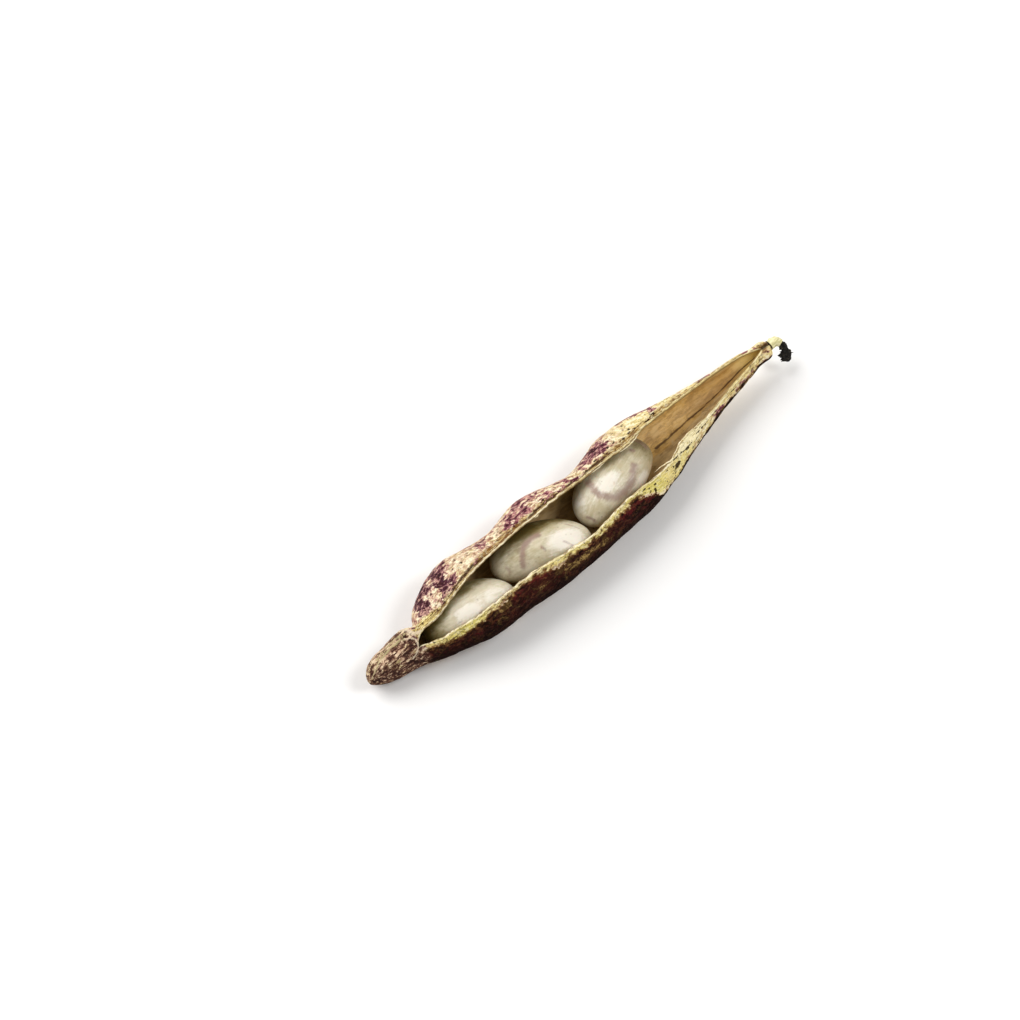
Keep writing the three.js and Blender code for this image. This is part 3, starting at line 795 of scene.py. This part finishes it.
# Each strip starts at one place along the split and ends at another: the side it hangs on, its two
# ends in mm, its widest place as a share of its length, its width and lift in mm, and a seed.
STRIPS = [
    (NEAR, 69.6, 82.0, 0.45, 0.17, 0.04, 51),
    (FAR, 41.2, 43.4, 0.85, 0.26, 0.02, 52),
    (FAR, 56.6, 60.0, 0.50, 0.22, 0.02, 53),
    (FAR, 63.0, 69.6, 0.55, 0.28, 0.03, 54),
    (NEAR, 33.0, 36.4, 0.50, 0.20, 0.04, 55),
    (NEAR, 42.8, 46.2, 0.60, 0.24, 0.04, 56),
]
WHISKER = (71.0, 65.9)  # from its root on the near edge to its point, in mm from the tip
WHISKER_POINTS = 7
STRIP_ROWS, STRIP_COLUMNS = 90, 12


def strip(way, begin, end, widest, width, lift, seed):
    """A thin shred that follows its edge of the split; across it, it is a flat oval that reaches over
    the opening, with a ragged free edge."""
    u = np.linspace(0, 1, STRIP_ROWS)
    x = begin + (end - begin) * u
    angle = edge_angles(x)[0 if way == FAR else 1]
    beside = into_opening(x, angle, way)
    up = np.cross([1.0, 0, 0], beside) * -way
    line = on_axis(x)
    shape = np.sin(np.pi * u ** (math.log(0.5) / math.log(widest))) ** 0.8
    ragged = 1 + 0.14 * ripple(line, 1.3, seed) + 0.12 * ripple(line, 0.5, seed + 20)
    half = 0.5 * width * shape * np.clip(ragged, 0.3, 1.6) + 0.01
    v = np.linspace(0, 2 * math.pi, STRIP_COLUMNS + 1)
    reach = half[:, None] * (1 + np.cos(v)) + 0.12
    thick = 0.07 * np.sin(v)[None, :] + lift * (reach / width) ** 1.5
    rows = pod_point(x, angle, 0.3)[:, None] + beside[:, None] * reach[..., None]
    return with_poles(rows + up[:, None] * thick[..., None])


def whisker():
    """A thin shred that leaves the near edge and tapers off above the opening."""
    x = np.linspace(*WHISKER, WHISKER_POINTS)
    angle = edge_angles(x)[1]
    away = 0.12 + 0.62 * smooth(np.linspace(0, 1, WHISKER_POINTS), 0, 0.7)
    path = pod_point(x, angle, 0.2) + into_opening(x, angle, NEAR) * away[:, None] + np.array([0, 0, 0.12])
    widths, thicknesses = [(0, 0.13), (0.5, 0.11), (1, 0.02)], [(0, 0.10), (0.5, 0.08), (1, 0.02)]
    return tube(path, widths, thicknesses, 48, 14, 0.15, 58, 0.7)


def torn_strips(finish):
    """Thin pale shreds torn from the lining."""
    made = Skin()
    for way, *shape in STRIPS:
        made.grid(strip(way, *shape), flip=way == FAR)
    made.grid(whisker())
    made.build("torn_strips", [finish])


# ---------------------------------------------------------------- finishes

NOISE_SPREAD = 0.065  # the standard deviation of a noise node's value


def tone(red, green, blue):
    """A colour from its usual 0 to 255 values, as linear light."""
    c = np.array([red, green, blue]) / 255
    linear = np.where(c <= 0.04045, c / 12.92, ((c + 0.055) / 1.055) ** 2.4)
    return (*linear.tolist(), 1.0)


class Output:
    """What a node of a material gives out. Such values add, subtract and multiply as numbers do."""

    def __init__(self, finish, socket):
        self.finish, self.socket = finish, socket

    def __add__(self, other):
        return self.finish.math("ADD", self, other)

    def __sub__(self, other):
        return self.finish.math("SUBTRACT", self, other)

    def __rsub__(self, other):
        return self.finish.math("SUBTRACT", other, self)

    def __mul__(self, other):
        return self.finish.math("MULTIPLY", self, other)

    def __abs__(self):
        return self.finish.math("ABSOLUTE", self)

    def step(self, low, high):
        """0 at low and 1 at high, smoothly; it falls instead where high is less than low."""
        start, stop = sorted((low, high))
        first, last = (0.0, 1.0) if low < high else (1.0, 0.0)
        return self.finish.node("MapRange", {
            "Value": self, "From Min": start, "From Max": stop, "To Min": first, "To Max": last,
        }, interpolation_type="SMOOTHSTEP")

    def between(self, a, b):
        """The number a where this value is 0, and b where it is 1."""
        return self * (b - a) + a

    def spread(self, size):
        """Noise moved to 0, with size as its standard deviation."""
        return (self - 0.5) * (size / NOISE_SPREAD)

    def peaks(self, above, soft=0.35):
        """1 where noise is more than above standard deviations over its middle, and 0 elsewhere."""
        return self.step(0.5 + NOISE_SPREAD * (above - soft), 0.5 + NOISE_SPREAD * (above + soft))

    def dips(self, below, soft=0.35):
        """1 where noise is more than below standard deviations under its middle, and 0 elsewhere."""
        return self.step(0.5 - NOISE_SPREAD * (below - soft), 0.5 - NOISE_SPREAD * (below + soft))


class Finish:
    """A procedural material, with a short call for each kind of node. A call returns its result."""

    def __init__(self, name, gloss, **constants):
        self.material = bpy.data.materials.new(name)
        self.material.use_nodes = True
        self.tree = self.material.node_tree
        self.surface = self.tree.nodes["Principled BSDF"]
        self.surface.inputs["Specular IOR Level"].default_value = gloss
        for socket, value in constants.items():
            self.surface.inputs[socket.replace("_", " ")].default_value = value
        self.place = self.node("TexCoord", {}, "Object")

    def node(self, kind, inputs, result=0, **settings):
        made = self.tree.nodes.new("ShaderNode" + kind)
        for name, value in settings.items():
            setattr(made, name, value)
        for name, value in inputs.items():
            self.give(made.inputs[name], value)
        return Output(self, made.outputs[result])

    def give(self, socket, value):
        if isinstance(value, Output):
            self.tree.links.new(value.socket, socket)
        else:
            socket.default_value = value

    def field(self, name):
        return self.node("Attribute", {}, "Fac", attribute_name=name)

    def spot(self, size, stretch, offset):
        """The place on the piece in steps of size mm, and stretch times that along the pod."""
        scale = 1 / (size * MM)
        return self.node("Mapping", {
            "Vector": self.place, "Location": (offset,) * 3, "Scale": (scale / stretch, scale, scale),
        })

    def noise(self, spot, detail, rough, warp=0.0):
        return self.node("TexNoise", {
            "Vector": spot, "Scale": 1.0, "Detail": detail, "Roughness": rough, "Distortion": warp,
        })

    def grain(self, size, stretch=1.0, detail=4.0, rough=0.6, warp=0.0, offset=0.0):
        """Noise with features of about size mm, and stretch times that along the pod."""
        return self.noise(self.spot(size, stretch, offset), detail, rough, warp)

    def specks(self, size, share, stretch=1.6, offset=0.0):
        """Scattered small spots: 1 in a share of the cells near their middle, and 0 elsewhere."""
        gap = self.node("TexVoronoi", {"Vector": self.spot(size, stretch, offset), "Scale": 1.0}, "Distance")
        draw = self.node("SeparateColor", {"Color": Output(self, gap.socket.node.outputs["Color"])})
        return gap.step(0.34, 0.18) * draw.step(1 - share, 1 - share + 0.04)

    def math(self, operation, a, b=0.0):
        return self.node("Math", {0: a, 1: b}, operation=operation)

    def mix(self, share, a, b):
        """The colour a where share is 0, and b where it is 1."""
        a, b = (tone(*color) if isinstance(color, tuple) else color for color in (a, b))
        return self.node("Mix", {0: share, 6: a, 7: b}, 2, data_type="RGBA")

    def layers(self, color, *coats):
        """Lays coats over a colour. Each has where it lies, from 0 to 1, its strength and its colour."""
        for where, strength, coat in coats:
            color = self.mix(where * strength, color, coat)
        return color

    def bump(self, height, distance_mm, strength=1.0):
        return self.node("Bump", {"Height": height, "Distance": distance_mm * MM, "Strength": strength})

    def finish(self, color, roughness, normal=None):
        self.give(self.surface.inputs["Base Color"], color)
        self.give(self.surface.inputs["Roughness"], roughness)
        if normal is not None:
            self.give(self.surface.inputs["Normal"], normal)
        return self.material


def skin_finish():
    """Cream skin with feathery purple stains that run from pink at their rims to maroon, dark spots, a
    plain band along the split, and brown feathers on the blossom end. The stains start from the
    ovals given to each point and are frayed by noise."""
    f = Finish("husk_skin", gloss=0.03)
    f.mid = f.grain(1.5, 1.7, 5, 0.68, 0.7, 3.0)
    f.fine = f.grain(0.75, 1.4, 5, 0.70, 0.4, 7.0)
    f.vein = f.grain(0.80, 2.0, 5, 0.70, 0.8, 19.0)
    f.tiny = f.grain(0.40, 1.3, 3, 0.6, 0.0, 13.0)
    f.big = f.grain(4.0, 1.8, 5, 0.62, 0.6)
    f.frayed = f.big.spread(0.12) + f.mid.spread(0.22) + f.fine.spread(0.20)
    f.lively = f.field("calm").between(1.0, 0.30)
    color = stained_cream(f)
    for cover in (with_dark_side, with_band, with_spots, with_blossom_end):
        color = cover(f, color)
    rough = f.mid * 0.25 + 0.44 + f.field("low") * 0.3
    height = (f.grain(0.5, 3.0, 4, 0.6, 0.0, 41.0) + f.fine + f.mid) * 0.6
    return f.finish(color, rough, f.bump(height, 0.25))


def stained_cream(f):
    """Mottled cream, yellower towards the stalk, with frayed purple stains."""
    yellower = (f.field("place") + f.big.spread(4)).step(50, 72)
    cloud = f.grain(2.6, 1.5, 3, 0.6, 0.0, 11.0).peaks(0.4, 0.6)
    cream = f.layers(
        f.mix(yellower, (216, 191, 158), (228, 210, 146)),
        (cloud * f.lively, 0.6, (204, 188, 118)),
        (f.vein.peaks(0.5, 0.6) * f.lively, 0.60, (204, 150, 130)),
        (f.fine.peaks(0.9, 0.4) * f.lively, 0.80, (134, 92, 64)),
        # painted highlights: small bright cream flecks
        (f.fine.dips(0.5, 0.5), 0.70, (255, 246, 214)),
    )
    rose = f.mix(f.vein.peaks(0.0, 0.7), (156, 90, 102), (98, 45, 60))
    umber = f.mix(f.vein.peaks(-0.2, 0.7), (122, 74, 86), (62, 34, 46))
    rose = f.mix(f.field("umber"), rose, umber)
    rose = f.layers(rose, (f.vein.dips(0.9, 0.4), 0.80, (214, 168, 150)))
    level = f.field("stain") * 1.15 + f.field("tide") + f.frayed + f.field("under") * 0.15
    darker = level + f.vein.spread(0.28)
    shore = abs(level - 0.52).step(0.12, 0.03) * f.mid.peaks(-0.2) * f.lively
    return f.layers(
        cream,
        (level.step(0.10, 0.40) * f.lively, 0.60, (202, 138, 132)),
        (level.step(0.42, 0.54), 1, rose),
        (darker.step(0.95, 1.25), 0.85, (74, 36, 42)),
        (darker.step(1.40, 1.70), 0.90, (40, 20, 24)),
        (shore, 0.65, (74, 38, 34)),
    )


def with_dark_side(f, color):
    """Maroon low on the near valve, with red and olive patches, darkened to near black as painted shade."""
    tint = f.field("patch") + f.mid.spread(0.20) + f.fine.spread(0.20)
    olive = f.mix(f.fine.peaks(0.0, 0.6), (164, 134, 80), (74, 52, 27))
    maroon = f.layers(
        f.mix(f.frayed.step(-0.30, 0.30), (56, 22, 16), (25, 9, 6)),
        (f.fine.dips(0.6), 0.60, (15, 5, 4)),
        (tint.step(-0.25, -0.75), 0.75, (88, 26, 28)),
        (f.vein.peaks(0.9), 0.42, (108, 66, 42)),
        (tint.step(0.22, 0.70), 0.90, olive),
        # painted shade underneath: near black
        (f.field("low"), 0.80, (15, 5, 4)),
    )
    deep = f.field("deep")
    sunk = deep * 1.6 + f.field("stain") * 0.6 + f.frayed
    border = f.mix(f.vein.peaks(0.1, 0.5), (150, 114, 66), (92, 56, 34))
    return f.layers(
        color,
        (sunk.step(0.12, 0.42) * deep.step(0.0, 0.04), 1, border),
        # maroon, darkened partly as painted shade
        (sunk.step(0.40, 0.80) * deep.step(0.0, 0.10), 1, maroon),
    )


def with_band(f, color):
    """The plain band along each edge of the split, in tan, golden or green tissue with lines along it
    and a dark line on the far valve, and the torn white part of the near valve."""
    edge, place, far = f.field("edge"), f.field("place"), f.field("far")
    near = 1.0 - far
    past = f.field("past_band") + f.mid.spread(0.20) + f.fine.spread(0.16) * far.between(0.6, 1.0)
    along_edge = f.node("CombineXYZ", {"X": place * 0.30, "Y": edge * 5.0 + f.fine.spread(0.15)})
    lines = f.noise(along_edge, 4.0, 0.65)
    lined = far.between(0.24, 0.76)
    dark = f.field("dark_line") + f.fine.spread(0.12) + f.mid.spread(0.08)
    flecks = f.grain(0.9, 1.4, 4, 0.6, 0.4, 29.0).spread(0.8) + f.fine.spread(0.6)
    tissue = f.layers(
        f.mix(f.field("green"), (243, 219, 150), (232, 217, 112)),
        (f.field("tan"), 0.88, (170, 136, 76)),
        (f.field("gold_band"), 1, (160, 114, 60)),
        (lines.peaks(0.4), lined, (112, 78, 36)),
        (lines.dips(0.6), far.between(0.60, 0.40), (246, 232, 172)),
        (near * place.step(76, 84) * lines.peaks(0.9), 0.75, (138, 74, 56)),
        (f.fine.dips(0.9, 0.4), 0.45, (246, 238, 200)),
        (f.vein.peaks(0.9, 0.4), lined, (116, 78, 44)),
        (dark.step(0.36, 0.56), 0.92, (62, 38, 22)),
        (flecks.step(0.9, 1.25) * past.step(-0.75, -0.10), 0.9, (62, 36, 20)),
    )
    verge = abs(past - 0.10).step(0.42, 0.08) * near * f.field("verge")
    frayed_edge = edge + f.fine.spread(0.05)
    beside = abs(frayed_edge - 0.30).step(0.14, 0.04)
    torn = (lines.spread(0.7) + f.fine.spread(0.7)).step(0.6, 1.8)
    return f.layers(
        color,
        ((past * far.between(0.45, 1.0)).step(0.10, -0.10), 0.97, tissue),
        (verge, 0.60, (122, 84, 46)),
        (frayed_edge.step(0.16, 0.05), far.between(0.90, 0.50), (246, 232, 184)),
        (beside * lines.peaks(-0.1), lined, (84, 56, 32)),
        (f.field("torn"), 0.94, f.mix(torn, (255, 242, 198), (212, 192, 132))),
    )


def with_spots(f, color):
    """Dark brown spots, scattered specks, and the dark slit and rim at the stalk end."""
    ragged = f.field("spot") + f.fine.spread(0.13) + f.tiny.spread(0.10)
    return f.layers(
        color,
        (ragged.step(0.32, 0.48), 0.95, (42, 26, 14)),
        (f.specks(0.6, 0.24, 1.4, 5.0) * f.fine.peaks(-0.5), 0.75, (70, 38, 32)),
        (f.tiny.peaks(1.4, 0.4) * f.lively, 0.55, (66, 40, 34)),
        (f.field("slit"), 0.95, (44, 30, 20)),
    )


def with_blossom_end(f, color):
    """Feathery brown streaks on the blossom end, and its raised pale lines."""
    streaks = f.grain(0.55, 3.6, 6, 0.78, 0.35, 37.0)
    feather = streaks.spread(0.25) + f.fine.spread(0.08) + f.tiny.spread(0.06) + f.field("knob") + 0.14
    knob = f.layers(
        f.mix(f.mid.peaks(0.2, 0.8), (206, 172, 144), (176, 156, 108)),
        (f.fine.dips(0.5, 0.5), 0.6, (242, 224, 188)),
        (feather.step(-0.12, 0.06), 0.85, (132, 92, 72)),
        (feather.step(0.05, 0.22), 0.95, (80, 50, 42)),
        (feather.step(0.32, 0.55), 0.95, (44, 26, 22)),
    )
    here = f.field("place").step(13.5, 12.5)
    green, pink = (f.field(line) + f.fine.spread(0.18) for line in ("green_line", "pink_line"))
    return f.layers(
        color,
        (f.field("bulb"), 1, knob),
        (here * green.step(0.40, 0.80), 0.7, (196, 182, 136)),
        (here * pink.step(0.45, 0.80), 0.75, (222, 204, 176)),
    )


def lining_finish():
    """Tan, silky lining with lengthwise fibres, golden on the far valve, greyer on the near valve, with a
    thin dark seam along its back; darker among the beans as painted shade, pale gold at the stalk end as
    painted light in its narrow pocket."""
    f = Finish("husk_lining", gloss=0.35)
    fibres = f.grain(0.5, 9.0, 5, 0.64, 0.2)
    cloud = f.grain(4.0, 2.2, 5, 0.6, 0.4, 5.0)
    blotch = f.grain(1.3, 2.2, 5, 0.66, 0.4, 9.0)
    place, far = f.field("place"), f.field("far")
    color = f.layers(
        f.mix(far, (220, 196, 146), (226, 187, 110)),
        (cloud.peaks(0.3, 0.9), 0.40, (176, 138, 80)),
        (fibres.peaks(0.4, 0.6), 0.35, (236, 208, 150)),
        (fibres.dips(0.5, 0.6), 0.25, (150, 116, 70)),
        (blotch.peaks(0.8, 0.5), 0.40, (140, 104, 58)),
        (blotch.dips(0.8, 0.5), 0.30, (236, 208, 150)),
        # painted shade: darker brown among the beans
        (place.step(74, 64), 0.50, (104, 74, 36)),
        (place.step(82, 88) * place.step(99, 95) * far, 0.36, (166, 126, 74)),
        # painted light: pale gold in the narrow pocket at the stalk end
        (place.step(94, 100), 0.80, (255, 236, 168)),
        (f.field("edge").step(0.6, 0.1), 0.3, (206, 188, 130)),
        ((f.field("seam") + blotch.spread(0.10)).step(0.35, 0.75), 0.85, (78, 52, 28)),
    )
    return f.finish(color, cloud * 0.15 + 0.46, f.bump(fibres, 0.06, 0.7))


def rim_finish():
    """Pale torn tissue with fine fibres and small brown bruises on its outer half, and the lining's tan on
    its inner half, darkening to brown towards the opening as painted shade; yellower towards the stalk."""
    f = Finish("husk_rim", gloss=0.3)
    fibres = f.grain(0.30, 6.0, 4, 0.65)
    frays = f.grain(0.7, 2.6, 4, 0.66, 0.4, 12.0)
    far = f.field("far")
    yellower = (f.field("place") + far * 16).step(82, 92)
    inward = f.field("across") + far * 0.10 + frays.spread(0.10)
    color = f.layers(
        f.mix(yellower, (250, 240, 208), (226, 206, 138)),
        (f.grain(1.6, 3.0, 3, 0.5, 0.0, 8.0).peaks(0.3, 0.6), 0.8, (204, 190, 134)),
        (fibres.peaks(0.6), 0.5, (160, 140, 92)),
        (f.grain(0.9, 3.0, 4, 0.65, 0.3, 3.0).peaks(1.0), 0.7, (96, 66, 42)),
        (inward.step(0.22, 0.42), 0.9, (166, 136, 82)),
        # painted shade: brown on the rim's side towards the opening
        (inward.step(0.45, 0.72), yellower.between(0.85, 0.30), (96, 70, 36)),
    )
    return f.finish(color, fibres * 0.2 + 0.55, f.bump(fibres, 0.08, 0.9))


def strip_finish():
    """Papery white shreds of lining."""
    f = Finish("torn_lining", gloss=0.3)
    fibres = f.grain(0.18, 9.0, 4, 0.65)
    color = f.mix(fibres.peaks(0.4, 0.8), (252, 240, 204), (224, 204, 146))
    return f.finish(color, fibres * 0.25 + 0.5, f.bump(fibres, 0.05, 0.9))


def seed_finish(name, tint, olive):
    """A pale waxy coat: clouded cream over a warmer ground, with painted shade in olive towards one end and
    painted highlights, faint mauve arcs, fine streaks that fan along the bean, and specks."""
    f = Finish(name, gloss=0.45, Subsurface_Weight=0.12, Subsurface_Scale=0.0012)
    cloud = f.grain(3.2, 1.3, 5, 0.6, 0.4)
    mottle = f.grain(1.1, 1.3, 5, 0.66, 0.4, 6.0)
    lx, ly, lz = (f.field(way) for way in ("lx", "ly", "lz"))
    fan = {"X": (lx + ly * 0.35) * 0.25, "Y": (ly + lx * -0.12) * 1.9, "Z": lz * 1.2}
    hair = f.noise(f.node("CombineXYZ", fan), 5.0, 0.7, 0.8)
    painted_shade_and_highlight = f.field("painted_shade_and_highlight") + cloud.spread(0.07) + hair.spread(0.03) + mottle.spread(0.04)
    ragged = f.field("mark") + mottle.spread(0.06) + hair.spread(0.03)
    color = f.layers(
        f.mix(cloud.peaks(0.0, 1.4), tint, (212, 201, 174)),
        (hair.peaks(0.5, 0.9), 0.09, (172, 156, 126)),
        (hair.dips(0.6, 0.9), 0.12, (242, 235, 220)),
        (mottle.peaks(0.8, 0.8), 0.12, (174, 160, 124)),
        # painted highlights where the ovals are below 0, then painted shade in olive and dark olive where
        # above
        (painted_shade_and_highlight.step(-0.10, -0.60), 0.75, (246, 240, 228)),
        (painted_shade_and_highlight.step(0.08, 0.75), 0.85, olive),
        (painted_shade_and_highlight.step(0.55, 1.10), 0.90, (84, 68, 20)),
        (ragged.step(0.08, 0.90), 0.72, (142, 110, 102)),
        (f.specks(0.7, 0.10, 1.2, 2.0), 0.35, (140, 118, 100)),
        (f.field("eye"), 1, (240, 238, 228)),
    )
    return f.finish(color, cloud * 0.14 + 0.34, f.bump(hair, 0.015, 0.3))


def scar_finish():
    """Dark brown, cracked cork."""
    f = Finish("stalk_scar", gloss=0.25)
    cork = f.grain(0.4, 1.0, 6, 0.7, 0.5)
    color = f.mix(cork.peaks(0.3, 1.0), (34, 24, 20), (96, 78, 58))
    return f.finish(color, cork * 0.25 + 0.65, f.bump(cork, 0.2))


def stalk_finish():
    """Pale yellow-green stalk with fine lengthwise ridges."""
    f = Finish("green_stalk", gloss=0.35)
    ridges = f.grain(0.35, 5.0, 4, 0.6, 0.2)
    color = f.mix(ridges.peaks(0.0, 1.0), (240, 232, 186), (214, 206, 146))
    color = f.layers(color, (f.specks(0.5, 0.2), 0.5, (120, 104, 66)))
    return f.finish(color, ridges * 0.2 + 0.5, f.bump(ridges, 0.08, 0.8))


def withered_finish():
    """Black, shrivelled and dry, with a few grey-brown high spots."""
    f = Finish("withered_black", gloss=0.25)
    crust = f.grain(0.3, 1.0, 6, 0.7, 0.6)
    color = f.mix(crust.peaks(1.2, 0.7), (22, 20, 17), (74, 64, 50))
    return f.finish(color, crust * 0.3 + 0.6, f.bump(crust, 0.25))


# ---------------------------------------------------------------- floor, light and camera

AZIMUTH, ELEVATION = math.radians(-43.9), math.radians(58)  # of the camera, seen from the pod
AIM = np.array([-10.85, 9.66, 5.0]) * MM  # the point that the camera faces
CAMERA_DISTANCE = 0.63  # metres
LENS = 120.07  # mm of focal length
FLOOR_HALF = 3.0  # metres


def floor():
    """A large, plain, pale floor at the pod's underside."""
    mesh = bpy.data.meshes.new("floor")
    corners = [(x * FLOOR_HALF, y * FLOOR_HALF, 0) for x, y in ((-1, -1), (1, -1), (1, 1), (-1, 1))]
    mesh.from_pydata(corners, [], [(0, 1, 2, 3)])
    f = Finish("pale_floor", gloss=0.2)
    color = f.mix(f.grain(60.0, 1.0, 2, 0.5), (247, 246, 245), (244, 243, 242))
    mesh.materials.append(f.finish(color, 0.8))
    made = bpy.data.objects.new("floor", mesh)
    bpy.context.scene.collection.objects.link(made)


def softbox(name, place, aim, size, power):
    """A square soft light at a place, in metres, that faces a point."""
    light = bpy.data.lights.new(name, "AREA")
    light.shape = "SQUARE"
    light.size = size
    light.energy = power
    made = bpy.data.objects.new(name, light)
    place, aim = np.array(place, float), np.array(aim, float)
    away = place - aim
    flat = math.hypot(away[0], away[1])
    made.rotation_euler = (math.atan2(flat, away[2]), 0, math.atan2(away[0], -away[1]))
    made.location = place
    bpy.context.scene.collection.objects.link(made)


def studio():
    """Plain soft light from above the far side, a weak fill, and an even pale surrounding."""
    scene = bpy.context.scene
    scene.view_settings.view_transform = "Standard"
    world = bpy.data.worlds.new("studio")
    world.use_nodes = True
    world.node_tree.nodes["Background"].inputs["Color"].default_value = (1.0, 0.985, 0.96, 1)
    world.node_tree.nodes["Background"].inputs["Strength"].default_value = 0.33
    scene.world = world
    softbox("key", (-0.34, 0.86, 0.96), (0, 0, 0), 1.2, 18)
    softbox("fill", (0.615, -0.615, 0.966), (0, 0, 0), 0.6, 8)


def camera():
    """A long lens from the near left, looking down on the pod."""
    lens = bpy.data.cameras.new("camera")
    lens.lens = LENS
    lens.sensor_width = 36
    lens.clip_start = 0.01
    made = bpy.data.objects.new("camera", lens)
    back = np.array([
        math.sin(AZIMUTH) * math.cos(ELEVATION), -math.cos(AZIMUTH) * math.cos(ELEVATION),
        math.sin(ELEVATION),
    ])
    made.location = AIM + back * CAMERA_DISTANCE
    made.rotation_euler = (math.pi / 2 - ELEVATION, 0, AZIMUTH)
    bpy.context.scene.collection.objects.link(made)
    bpy.context.scene.camera = made


# ---------------------------------------------------------------- the scene

camera()
floor()
studio()
husk([skin_finish(), lining_finish(), rim_finish()])
for node, facts in BEANS.items():
    bean(node, **facts)
scar_ring(scar_finish())
bent_stalk(stalk_finish())
withered_end(withered_finish())
torn_strips(strip_finish())
